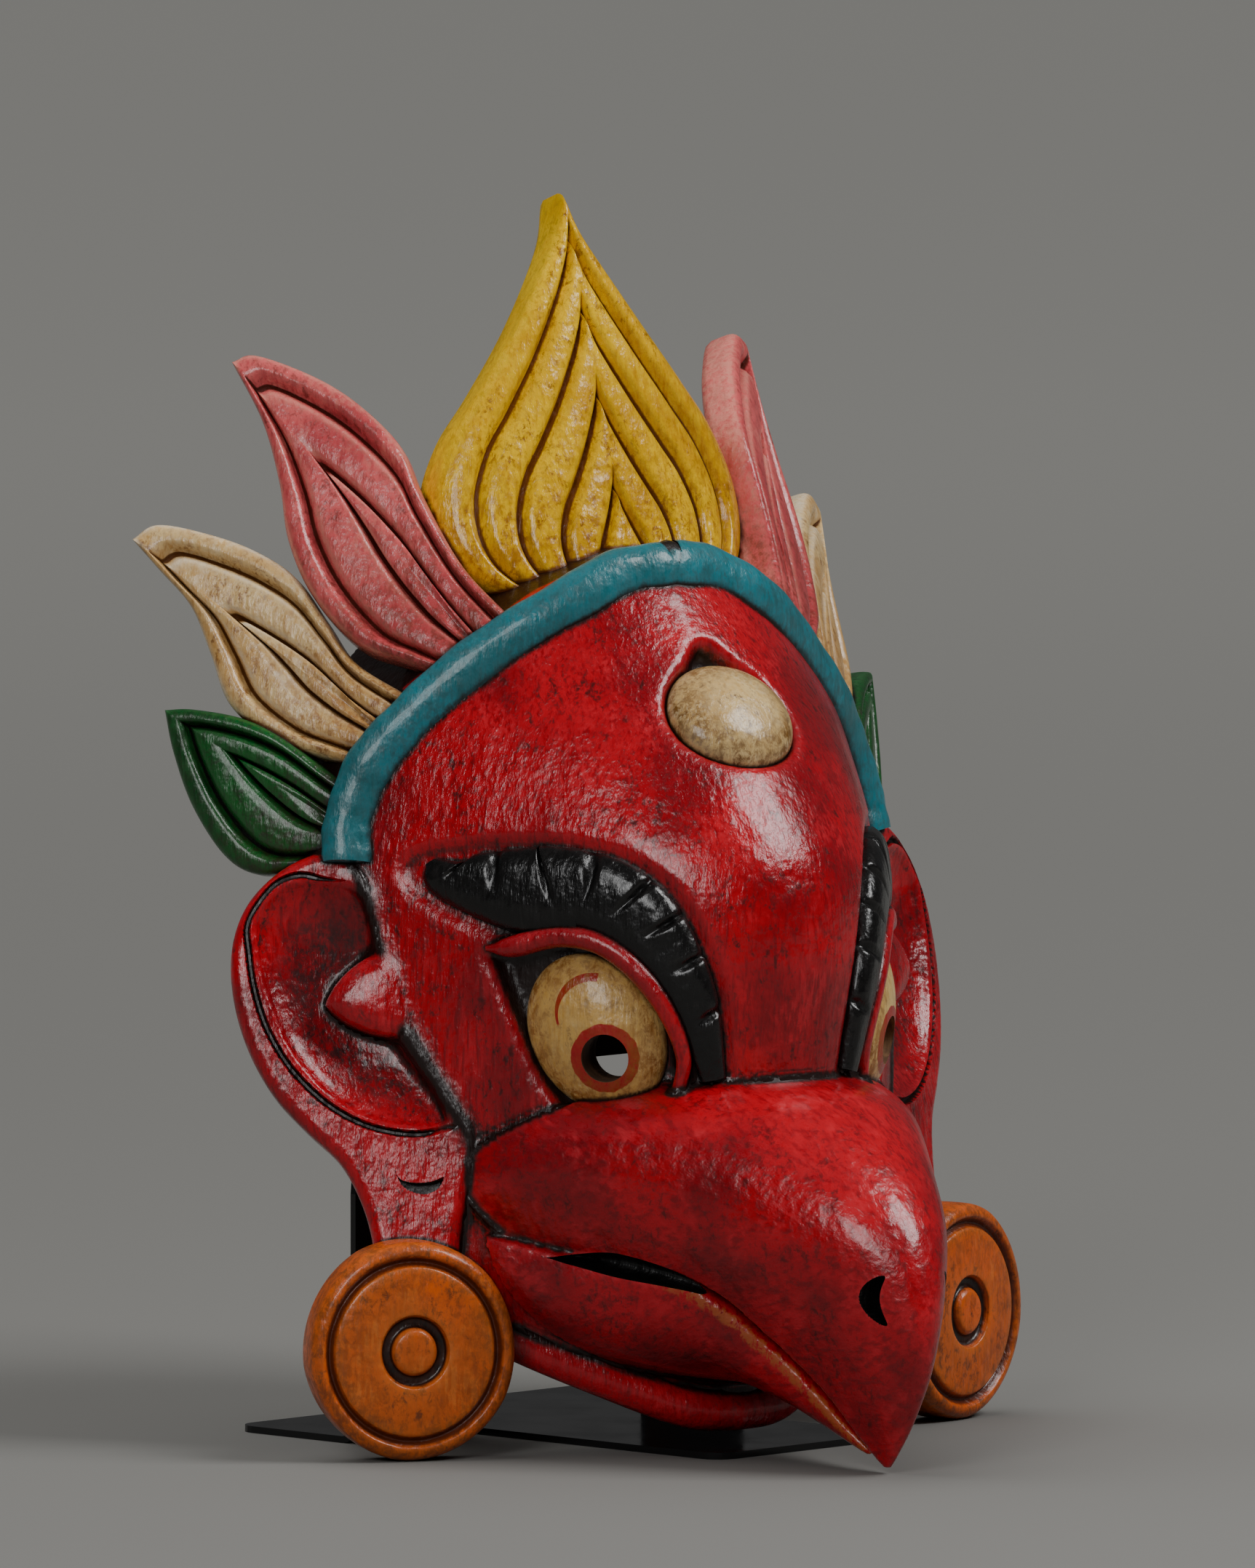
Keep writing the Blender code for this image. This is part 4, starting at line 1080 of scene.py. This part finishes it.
def eye_paint(tree, tone, flecks):
    """The painted ring round a pupil and the brush stroke over it, read from the eye's own places."""
    at = add(tree, "ShaderNodeAttribute", out="Vector", attribute_name="eye_place")
    wobble = add(tree, "ShaderNodeTexNoise", {"Vector": at, "Scale": 0.35, "Detail": 2.0})
    uneven = add(tree, "ShaderNodeMath", (wobble, 0.5), operation="SUBTRACT")
    reach = add(tree, "ShaderNodeVectorMath", [at], "Value", operation="LENGTH")
    ring = add(tree, "ShaderNodeMath", (uneven, 1.2, reach), operation="MULTIPLY_ADD")
    # The stroke is part of a circle over the pupil, drawn from its left to its top
    aside = add(tree, "ShaderNodeVectorMath", (at, (*STROKE_CENTRE, 0)), operation="SUBTRACT")
    across = add(tree, "ShaderNodeSeparateXYZ", [aside], "X")
    above = add(tree, "ShaderNodeSeparateXYZ", [aside], "Y")
    round_it = add(tree, "ShaderNodeVectorMath", [aside], "Value", operation="LENGTH")
    past = add(tree, "ShaderNodeMath", (round_it, STROKE_RADIUS), operation="SUBTRACT")
    off = add(tree, "ShaderNodeMath", [past], operation="ABSOLUTE")
    back = add(tree, "ShaderNodeMath", (across, -1.0), operation="MULTIPLY")
    turn = add(tree, "ShaderNodeMath", (above, back), operation="ARCTAN2")
    wide = add(tree, "ShaderNodeMapRange", (turn, -0.35, 1.2, 0.35, 1.05), **SOFTLY)
    mark = add(tree, "ShaderNodeMath", (off, wide), operation="SUBTRACT")
    red = mixed(tint("red"), tint("red_deep"), 0.2)
    stroke = (red, (mark, 0.08, -0.08), (turn, -0.4, -0.3), (turn, 1.75, 1.7))
    return coats(tree, tone, (red, (ring, *PUPIL_RING)), stroke)


class MASK_OT_eyes(bpy.types.Operator):
    """Sets the eyeballs with their pierced pupils, the lids over them, and the third eye in its pit"""

    bl_idname = "mask.eyes"
    bl_label = "Eyes"

    def execute(self, context):
        wood, red = carved_wood(), lacquer("red lacquer")
        cream, ball = lacquer("cream eye paint", eye_paint), lacquer("cream third eye paint")
        for side, name in ((1, "right"), (-1, "left")):
            axes = face_axes(*EYE_PLACE, EYE_TILT)
            centre = head_front(*EYE_PLACE) - EYE_SINK * axes[2]
            eye = self.oval(f"eyeball_{name}", centre, axes, EYE_RADII, cream, side)
            carve(eye, [pupil_form(side, wood)])
            points = read_points(eye.data) * (side, 1, 1)
            around = face_axes(*PUPIL_PLACE)
            reach = points - head_front(*PUPIL_PLACE)
            # A viewer sees the strokes of both eyes lean the same way, so the left eye isn't mirrored
            flat = np.stack([side * (reach @ around[0]), reach @ around[1], 0 * reach[:, 0]], 1)
            keep_place(eye.data, "eye_place", flat)
            away = points - centre
            out = np.hypot(away @ axes[0] / EYE_RADII[0], away @ axes[1] / EYE_RADII[1])
            keep_value(eye.data, "soot", 0.25 + 0.75 * smooth_step(out, 0.35, 0.9))
            shown(eye, None)
            line = through(LID, 90)
            lift = head_normal(line[:, 0], line[:, 1])
            path = head_front(line[:, 0], line[:, 1]) + LID_LIFT * lift
            share = np.linspace(0, 1, len(line))
            taper = smooth_step(share, -0.02, 0.22) * (1 - 0.55 * smooth_step(share, 0.6, 1.0))
            half = sizes("lid_radius") * (0.18 + 0.82 * taper)
            lid = bar(f"lid_{name}", path * (side, 1, 1), half, lift * (side, 1, 1), 1.0, red)
            shown(lid, None)
        axes = face_axes(*THIRD_EYE_PLACE)
        centre = head_front(*THIRD_EYE_PLACE) - THIRD_EYE_SINK * axes[2]
        third = self.oval("third_eye", centre, axes, THIRD_EYE_RADII, ball, 1)
        reach = read_points(third.data) - centre
        out = np.hypot(reach @ axes[0] / THIRD_EYE_RADII[0], reach @ axes[1] / THIRD_EYE_RADII[1])
        keep_value(third.data, "soot", 0.2 + 0.8 * smooth_step(out, 0.35, 0.85))
        shown(third, None)
        return {"FINISHED"}

    def oval(self, name, centre, axes, radii, material, side):
        """An egg form on the head, on the right or mirrored."""
        polar = np.linspace(0.02, math.pi - 0.02, 64)
        turns = np.linspace(0, 2 * math.pi, 96, endpoint=False)
        rings = [
            (
                centre
                + radii[0] * math.sin(p) * np.cos(turns)[:, None] * axes[0]
                + radii[1] * math.sin(p) * np.sin(turns)[:, None] * axes[1]
                + radii[2] * math.cos(p) * axes[2]
            )
            * (side, 1, 1)
            for p in polar
        ]
        return loft(name, rings, material)


class MASK_OT_jaw(bpy.types.Operator):
    """Lays the jaw's roll under the lower beak"""

    bl_idname = "mask.jaw"
    bl_label = "Jaw"

    def execute(self, context):
        half = through(JAW_ROLL, 60)
        path = np.vstack([half, half[-2::-1] * (-1, 1, 1)])
        share = np.abs(np.linspace(-1, 1, len(path)))
        reach = JAW_ROLL_RADIUS * (1 - 0.65 * smooth_step(share, 0.86, 1.0))
        lift = np.tile((0.0, -1.0, 0.2), (len(path), 1))
        roll = bar("jaw_roll", path, reach, unit(lift), 1.0, lacquer("red lacquer"), 28)
        shown(roll, None)
        return {"FINISHED"}


class MASK_OT_ears(bpy.types.Operator):
    """Carves the long ears with their hollows, front flaps and lobe slits"""

    bl_idname = "mask.ears"
    bl_label = "Ears"

    def execute(self, context):
        red = lacquer("red lacquer")
        outline = through((*EAR_OUTLINE, EAR_OUTLINE[0]), 110)[:-1]
        back = -EAR_THICKNESS
        levels = ((2.5, back), (0.6, back + 1.6), (0, back + 3.5), (0, -3), (0.7, -1), (2.2, 0))
        right = loft("ear_right", [on_ear(inset(outline, d), depth) for d, depth in levels])
        carve(right, [bowl_form()])
        soften(right, *EAR_SCRAPING)
        slit = through((*LOBE_SLIT, LOBE_SLIT[0]), 40)[:-1]
        carve(right, [loft("slit", [on_ear(slit, depth) for depth in (5, -4)]), self.rim_groove()])
        carve(right, [hollow_form(sizes("wall"), None)])
        # Deep in the bowl the paint darkens: patina and painted shade
        from_root = read_points(right.data) - EAR_ROOT
        reach = from_root @ ear_axes()[2]
        inside = away_from(from_root @ np.array(ear_axes()[:2]).T, through(CONCHA_OUTLINE, 60))
        keep_value(right.data, "soot", smooth_step(-reach, 2.2, 6.0) * smooth_step(-inside, -1, 1))
        twin = mirrored(right, "ear_left")
        shown(right, red)
        shown(twin, red)
        return {"FINISHED"}

    def rim_groove(self):
        """The V-shaped groove between the ear's rolled rim and its hollow."""
        line = through(RIM_GROOVE, 90)
        ahead = unit(np.gradient(line, axis=0))
        across = np.stack([-ahead[:, 1], ahead[:, 0]], 1)
        share = np.linspace(0, 1, len(line))
        wide = 1.1 * smooth_step(share, -0.05, 0.12) * smooth_step(share, 1.03, 0.93) + 0.1
        rings = []
        for at, aside, half in zip(line, across, wide):
            corners = [at + share * half * aside for share in (1, 0.25, -0.25, -1)]
            depths = (0.2, -1.5 * half, -1.5 * half, 0.2)
            low = np.vstack([on_ear(c, d) for c, d in zip(corners, depths)])
            high = np.vstack([on_ear(corners[3], 5), on_ear(corners[0], 5)])
            rings.append(np.vstack([low, high]))
        return loft("rim groove", rings)


class MASK_OT_earrings(bpy.types.Operator):
    """Turns the disc earrings, with a groove inside the rim and a dark ring round the boss"""

    bl_idname = "mask.earrings"
    bl_label = "Earrings"

    def execute(self, context):
        radius, thick = sizes("earring_width") / 2, sizes("earring_thickness")
        outward = np.array((math.sin(EARRING_TURN), -math.cos(EARRING_TURN), 0.0))
        across = np.array((math.cos(EARRING_TURN), math.sin(EARRING_TURN), 0.0))
        up = np.array((0.0, 0.0, 1.0))
        centre = np.array((*EARRING_PLACE, radius))
        profile = through(
            (
                (0.9, -thick), (0.98, -thick + 1.2), (1.0, -thick + 4), (1.0, -4.5), (0.985, -2),
                (0.94, -0.6), (0.885, -0.3), (0.85, -1.2), (0.815, -2.2), (0.78, -1.2), (0.74, -0.2),
                (0.55, 0.3), (0.36, 0.4), (0.325, -0.3), (0.295, -1.6), (0.235, -1.6), (0.205, -0.3),
                (0.17, 0.4), (0.08, 0.6), (0.01, 0.6),
            ),
            96,
        )
        turns = np.linspace(0, 2 * math.pi, 160, endpoint=False)
        rings = []
        for r, d in profile:
            wobble = 1 - 0.012 * np.abs(np.sin(2.5 * turns + 0.4)) * smooth_step(r, 0.7, 1.0)
            around = EARRING_SHARE_ACROSS * np.cos(turns)[:, None] * across + np.sin(turns)[:, None] * up
            rings.append(centre + radius * r * wobble[:, None] * around + d * outward)
        right = loft("earring_right", rings)
        reach = read_points(right.data) - centre
        out = np.hypot(reach @ across / EARRING_SHARE_ACROSS, reach @ up) / radius
        keep_value(right.data, "disc", out)
        keep_value(right.data, "soot", 0.3 + 0.45 * smooth_step(out, 0.3, 0.95))
        left = mirrored(right, "earring_left")
        for obj in (right, left):
            shown(obj, lacquer("orange earring paint", self.rings))
        return {"FINISHED"}

    def rings(self, tree, tone, flecks):
        """Black paint in the ring round the boss and brown wax in the outer groove."""
        out = add(tree, "ShaderNodeAttribute", out="Fac", attribute_name="disc")
        return coats(
            tree,
            tone,
            (linear("#41190F"), (out, 0.765, 0.79), (out, 0.865, 0.84, 0, 0.9)),
            (linear("#0D0B0A"), (out, 0.21, 0.225), (out, 0.325, 0.305)),
        )


def flame_rings(shape, edge_points, rows):
    """A leaf with rounded edges and grooves that follow its outline, nested towards its root."""
    root = np.array(shape["root"], float)
    along = unit(shape["tip"])
    outward = np.array(shape["normal"], float)
    outward = unit(outward - outward @ along * along)
    across = np.cross(along, outward)
    across = across if across[0] > 0 else -across
    inner = through(shape["inner"], edge_points // 2 + 1)
    outer = through((*shape["outer"], shape["inner"][0]), edge_points // 2 + 1)
    outline = np.vstack([inner, outer[:-1]])
    thick = shape["thickness"]

    def place(scale_along, scale_across, depth):
        """The outline drawn in towards the focus, on the leaf's bowed surface."""
        u = FLAME_FOCUS + (outline[:, 0] - FLAME_FOCUS) * scale_along
        v = outline[:, 1] * scale_across
        fall = v * v / (2 * shape["bend"]) if shape["bend"] else 0 * v
        return root + u[:, None] * along + v[:, None] * across + (depth - fall)[:, None] * outward

    rings = [place(0.9, 0.85, -thick), place(0.96, 0.93, -thick), place(0.99, 0.985, -thick + 0.9)]
    rings += [place(1.0, 1.0, -thick + 2.5), place(1.0, 1.0, -thick / 2), place(1.0, 1.0, -2.5)]
    rings += [place(0.997, 0.988, -1.2), place(0.99, 0.965, -0.3)]
    # From the edge inward, the scales pass through each groove's own pair
    stops = np.array([(0.985, 0.95), *shape["grooves"], (0.08, 0.03)])
    scales = [stops[0]]
    for start, end in zip(stops, stops[1:]):
        scales += [start + (end - start) * t for t in np.linspace(0, 1, rows + 1)[1:]]
    level = np.array(scales)[:, 0]
    cut, petal = np.zeros(len(level)), np.zeros(len(level))
    for groove, _ in shape["grooves"]:
        cut = np.maximum(cut, np.exp(-(((level - groove) / GROOVE_SHARE) ** 2)))
    for high, low in zip(stops[:, 0], stops[1:, 0]):
        inside = (level <= high) & (level >= low)
        petal[inside] = np.sin(np.pi * (high - level[inside]) / (high - low))
    depths = PETAL_RISE * np.clip(petal, 0, 1) ** 0.6 - sizes("groove_depth") * cut
    return rings + [place(a, b, d) for (a, b), d in zip(scales, depths)]


class MASK_OT_flames(bpy.types.Operator):
    """Carves the crown's seven flames with their nested grooves"""

    bl_idname = "mask.flames"
    bl_label = "Flames"

    def execute(self, context):
        for name, shape in FLAMES.items():
            points, rows = (220, 22) if name == "centre" else (160, 26)
            paint = lacquer("yellow paint" if name == "centre" else f"{name} paint")
            if name == "centre":
                flame = loft("flame_centre", flame_rings(shape, points, rows))
                self.darkening(flame, shape, 0.75)
                shown(flame, paint)
                continue
            right = loft(f"flame_{name}_right", flame_rings(shape, points, rows))
            self.darkening(right, shape, 0.85)
            left = mirrored(right, f"flame_{name}_left")
            shown(right, paint)
            shown(left, paint)
        return {"FINISHED"}

    def darkening(self, flame, shape, most):
        """Old varnish and dust, thickest towards a flame's root and thin at its tip."""
        reach = (read_points(flame.data) - shape["root"]) @ unit(shape["tip"])
        share = reach / max(u for u, _ in shape["inner"])
        keep_value(flame.data, "soot", most * (0.3 + 0.7 * smooth_step(share, 0.6, 0.0)))


def black_steel():
    """Powder-coated sheet steel: nearly black, glossy, with a faint orange-peel surface."""
    material, tree, shader, places = new_finish("gloss black coated steel")
    fine = {"Vector": places, "Scale": 1 / (1.1 * MM), "Detail": 2, "Roughness": 0.5}
    coarse = {"Vector": places, "Scale": 1 / (24 * MM), "Detail": 4, "Roughness": 0.6}
    peel, smear = (add(tree, "ShaderNodeTexNoise", pattern) for pattern in (fine, coarse))
    rough = add(tree, "ShaderNodeMapRange", (smear, 0.3, 0.7, 0.1, 0.22), **SOFTLY)
    bump = add(tree, "ShaderNodeBump", {"Height": peel, "Strength": 0.2, "Distance": 0.1 * MM})
    fill(tree, shader, {"Base Color": linear("#0E0E0F"), "Roughness": rough, "IOR": 1.5, "Normal": bump})
    return material


class MASK_OT_stand(bpy.types.Operator):
    """Paints the bent steel stand of the frame"""

    bl_idname = "mask.stand"
    bl_label = "Stand"

    def execute(self, context):
        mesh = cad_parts["stand"].data
        mesh.materials.clear()
        mesh.materials.append(black_steel())
        return {"FINISHED"}


def near_sums(mesh, values):
    """For each vertex, the mean of a value over its neighbours."""
    edges = np.empty(len(mesh.edges) * 2, np.int32)
    mesh.edges.foreach_get("vertices", edges)
    a, b = edges.reshape(-1, 2).T
    total = np.zeros_like(values)
    np.add.at(total, a, values[b])
    np.add.at(total, b, values[a])
    count = np.bincount(edges, minlength=len(mesh.vertices)).astype(float)
    return total / np.maximum(count, 1)[:, None]


def read_normals(mesh):
    """A mesh's outward directions, one for each point."""
    normals = np.empty(len(mesh.vertices) * 3, np.float32)
    mesh.vertices.foreach_get("normal", normals)
    return normals.reshape(-1, 3).astype(float)


def gaps(pieces, reach):
    """How far each piece's vertices lie from the nearest other piece, up to a reach."""
    graph = bpy.context.evaluated_depsgraph_get()
    trees = {piece.name: BVHTree.FromObject(piece, graph) for piece in pieces}
    points = {piece.name: read_points(piece.data) for piece in pieces}
    found = {}
    for name, own_points in points.items():
        nearest = np.full(len(own_points), reach)
        for other, other_points in points.items():
            if other == name:
                continue
            low, high = other_points.min(axis=0) - reach, other_points.max(axis=0) + reach
            for i in np.flatnonzero(((own_points > low) & (own_points < high)).all(axis=1)):
                distance = trees[other].find_nearest(Vector(own_points[i]) * MM, nearest[i] * MM)[3]
                if distance is not None:
                    nearest[i] = min(nearest[i], distance / MM)
        found[name] = nearest
    return found


class MASK_OT_wear_wax_and_shade(bpy.types.Operator):
    """Rounds the valleys between the red forms, then finds where dark wax and painted shade gather and where
    paint rubs off and takes a painted highlight
    """

    bl_idname = "mask.age"
    bl_label = "Wear and wax"

    def execute(self, context):
        carved = [o for o in bpy.data.objects if o.type == "MESH" and o.get("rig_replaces")]
        self.round_valleys([o for o in carved if o.name.startswith(SOFT_FORMS)], sizes("valley_radius"))
        for name, gap in gaps(carved, 6.0).items():
            mesh = bpy.data.objects[name].data
            points = read_points(mesh)
            # A dark line where pieces meet: dark wax and painted shade
            crease = 0.9 * np.exp(-((gap / CREASE_REACH) ** 1.3))
            if name == "face":
                # Sockets and pit darker still: dark paint and painted shade
                crease = np.maximum(crease, 0.8 * face_relief(points)[1])
                # Painted shade behind the band, dark as a deep crease between the band and the flames
                behind = points[:, 1] - head_sizes(points[:, 2])[2]
                crease = np.maximum(crease, smooth_step(behind, 1, 4) * smooth_step(points[:, 2], 150, 156))
            keep_value(mesh, "crease", crease)
            blurred = points
            for _ in range(3):
                blurred = 0.5 * blurred + 0.5 * near_sums(mesh, blurred)
            bend = np.einsum("ij,ij->i", blurred - points, read_normals(mesh))
            bend = near_sums(mesh, bend[:, None])[:, 0]
            # Hollows darken: dark wax and painted shade
            keep_value(mesh, "hollow", np.clip(bend / HOLLOW_BEND, 0, 1))
            # Convex edges pale: rubbed paint and painted highlight
            keep_value(mesh, "edge", np.clip(-bend / EDGE_BEND, 0, 1))
        return {"FINISHED"}

    def round_valleys(self, pieces, radius):
        """Lifts the wood where two red forms meet, into a small round valley."""
        for name, gap in gaps(pieces, radius).items():
            mesh = bpy.data.objects[name].data
            rise = radius - np.sqrt(radius**2 - (radius - gap) ** 2)
            moved = read_points(mesh) + np.minimum(rise, 0.6 * radius)[:, None] * read_normals(mesh)
            mesh.vertices.foreach_set("co", (moved * MM).astype(np.float32).ravel())
            mesh.update()


def aim(obj, place, target):
    """Puts a lamp in a place and turns it towards a target."""
    obj.location = Vector(place)
    obj.rotation_euler = (Vector(target) - Vector(place)).to_track_quat("-Z", "Y").to_euler()


class MASK_OT_stage(bpy.types.Operator):
    """Sets the floor, the soft lights and the camera"""

    bl_idname = "mask.stage"
    bl_label = "Stage"

    def execute(self, context):
        scene = context.scene
        self.floor(scene.mask_stage.floor)
        key = scene.mask_stage.key_power
        for name, place, size, share in SOFTBOXES:
            lamp = bpy.data.lights.new(name, "AREA")
            lamp.shape = "RECTANGLE"
            lamp.size, lamp.size_y = size
            lamp.energy = share * key
            obj = bpy.data.objects.new(name, lamp)
            scene.collection.objects.link(obj)
            aim(obj, place, MASK_MIDDLE)
        ceiling = bpy.data.lights.new("ceiling light", "SUN")
        ceiling.energy = CEILING_POWER
        ceiling.angle = CEILING_SPREAD
        obj = bpy.data.objects.new("ceiling light", ceiling)
        # Left out of the varnish, so that the paint stays deep beside the softboxes' highlights
        obj.visible_glossy = False
        scene.collection.objects.link(obj)
        aim(obj, CEILING_PLACE, (0, 0, 0))
        world = bpy.data.worlds.new("soft room")
        scene.world = world
        world.use_nodes = True
        world.node_tree.nodes["Background"].inputs[0].default_value = linear("#C8C8C8")
        world.node_tree.nodes["Background"].inputs[1].default_value = ROOM_POWER
        self.camera(scene)
        return {"FINISHED"}

    def floor(self, tone):
        """A wide flat sheet of matt paper, which fills the view behind the mask, with painted shade darkening
        it round the mask.
        """
        mesh = bpy.data.meshes.new("floor")
        corners = [(x * FLOOR_HALF, y * FLOOR_HALF, 0) for x, y in ((-1, -1), (1, -1), (1, 1), (-1, 1))]
        mesh.from_pydata(corners, [], [(0, 1, 2, 3)])
        material, tree, shader, places = new_finish("matt paper")
        # Painted shade: the paper is darkest round the mask and reaches its own tone four metres out
        away = add(tree, "ShaderNodeVectorMath", [places], "Value", operation="LENGTH")
        shaded = coats(tree, mixed(tone, (0, 0, 0, 1), 0.42), (tone, (away, 0.2, 4.0)))
        fill(tree, shader, {"Base Color": shaded, "Roughness": 0.9, "IOR": 1.2})
        mesh.materials.append(material)
        obj = bpy.data.objects.new("floor", mesh)
        bpy.context.scene.collection.objects.link(obj)

    def camera(self, scene):
        """The photograph's view: from the front left and a little above, with a long lens."""
        turn, above = CAMERA_TURN, CAMERA_RISE
        right = Vector((math.cos(turn), -math.sin(turn), 0))
        back = Vector((-math.sin(turn) * math.cos(above), -math.cos(turn) * math.cos(above), math.sin(above)))
        up = back.cross(right)
        target = CAMERA_SHIFT[0] * right + CAMERA_SHIFT[1] * up
        camera = bpy.data.cameras.new("camera")
        camera.sensor_width = 36
        camera.lens = CAMERA_LENS
        camera.clip_end = 50
        obj = bpy.data.objects.new("camera", camera)
        scene.collection.objects.link(obj)
        turned = Matrix((right, up, back)).transposed().to_4x4()
        turned.translation = target + CAMERA_DISTANCE * back
        obj.matrix_world = turned
        scene.camera = obj


OPERATORS = (
    MASK_OT_face,
    MASK_OT_beak,
    MASK_OT_jaw,
    MASK_OT_eyes,
    MASK_OT_brows,
    MASK_OT_band,
    MASK_OT_ears,
    MASK_OT_earrings,
    MASK_OT_flames,
    MASK_OT_stand,
    MASK_OT_wear_wax_and_shade,
    MASK_OT_stage,
)


class MASK_PT_panel(bpy.types.Panel):
    """Lists the mask's pieces, sizes and paints"""

    bl_idname = "MASK_PT_panel"
    bl_label = "Garuda mask"
    bl_space_type = "VIEW_3D"
    bl_region_type = "UI"
    bl_category = "Mask"

    def draw(self, context):
        for operator in OPERATORS:
            self.layout.operator(operator.bl_idname)
        for group in (context.scene.mask_sizes, context.scene.mask_paints, context.scene.mask_stage):
            for field in group.bl_rna.properties:
                if field.identifier not in ("name", "rna_type"):
                    self.layout.prop(group, field.identifier)


CLASSES = (MaskSizes, MaskPaints, StageLook, *OPERATORS, MASK_PT_panel)


def register():
    for cls in CLASSES:
        bpy.utils.register_class(cls)
    bpy.types.Scene.mask_sizes = bpy.props.PointerProperty(type=MaskSizes)
    bpy.types.Scene.mask_paints = bpy.props.PointerProperty(type=MaskPaints)
    bpy.types.Scene.mask_stage = bpy.props.PointerProperty(type=StageLook)


def unregister():
    del bpy.types.Scene.mask_stage
    del bpy.types.Scene.mask_paints
    del bpy.types.Scene.mask_sizes
    for cls in reversed(CLASSES):
        bpy.utils.unregister_class(cls)


def main():
    register()
    for operator in OPERATORS:
        group, action = operator.bl_idname.split(".")
        getattr(getattr(bpy.ops, group), action)()
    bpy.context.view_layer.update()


if __name__ == "__main__":
    main()
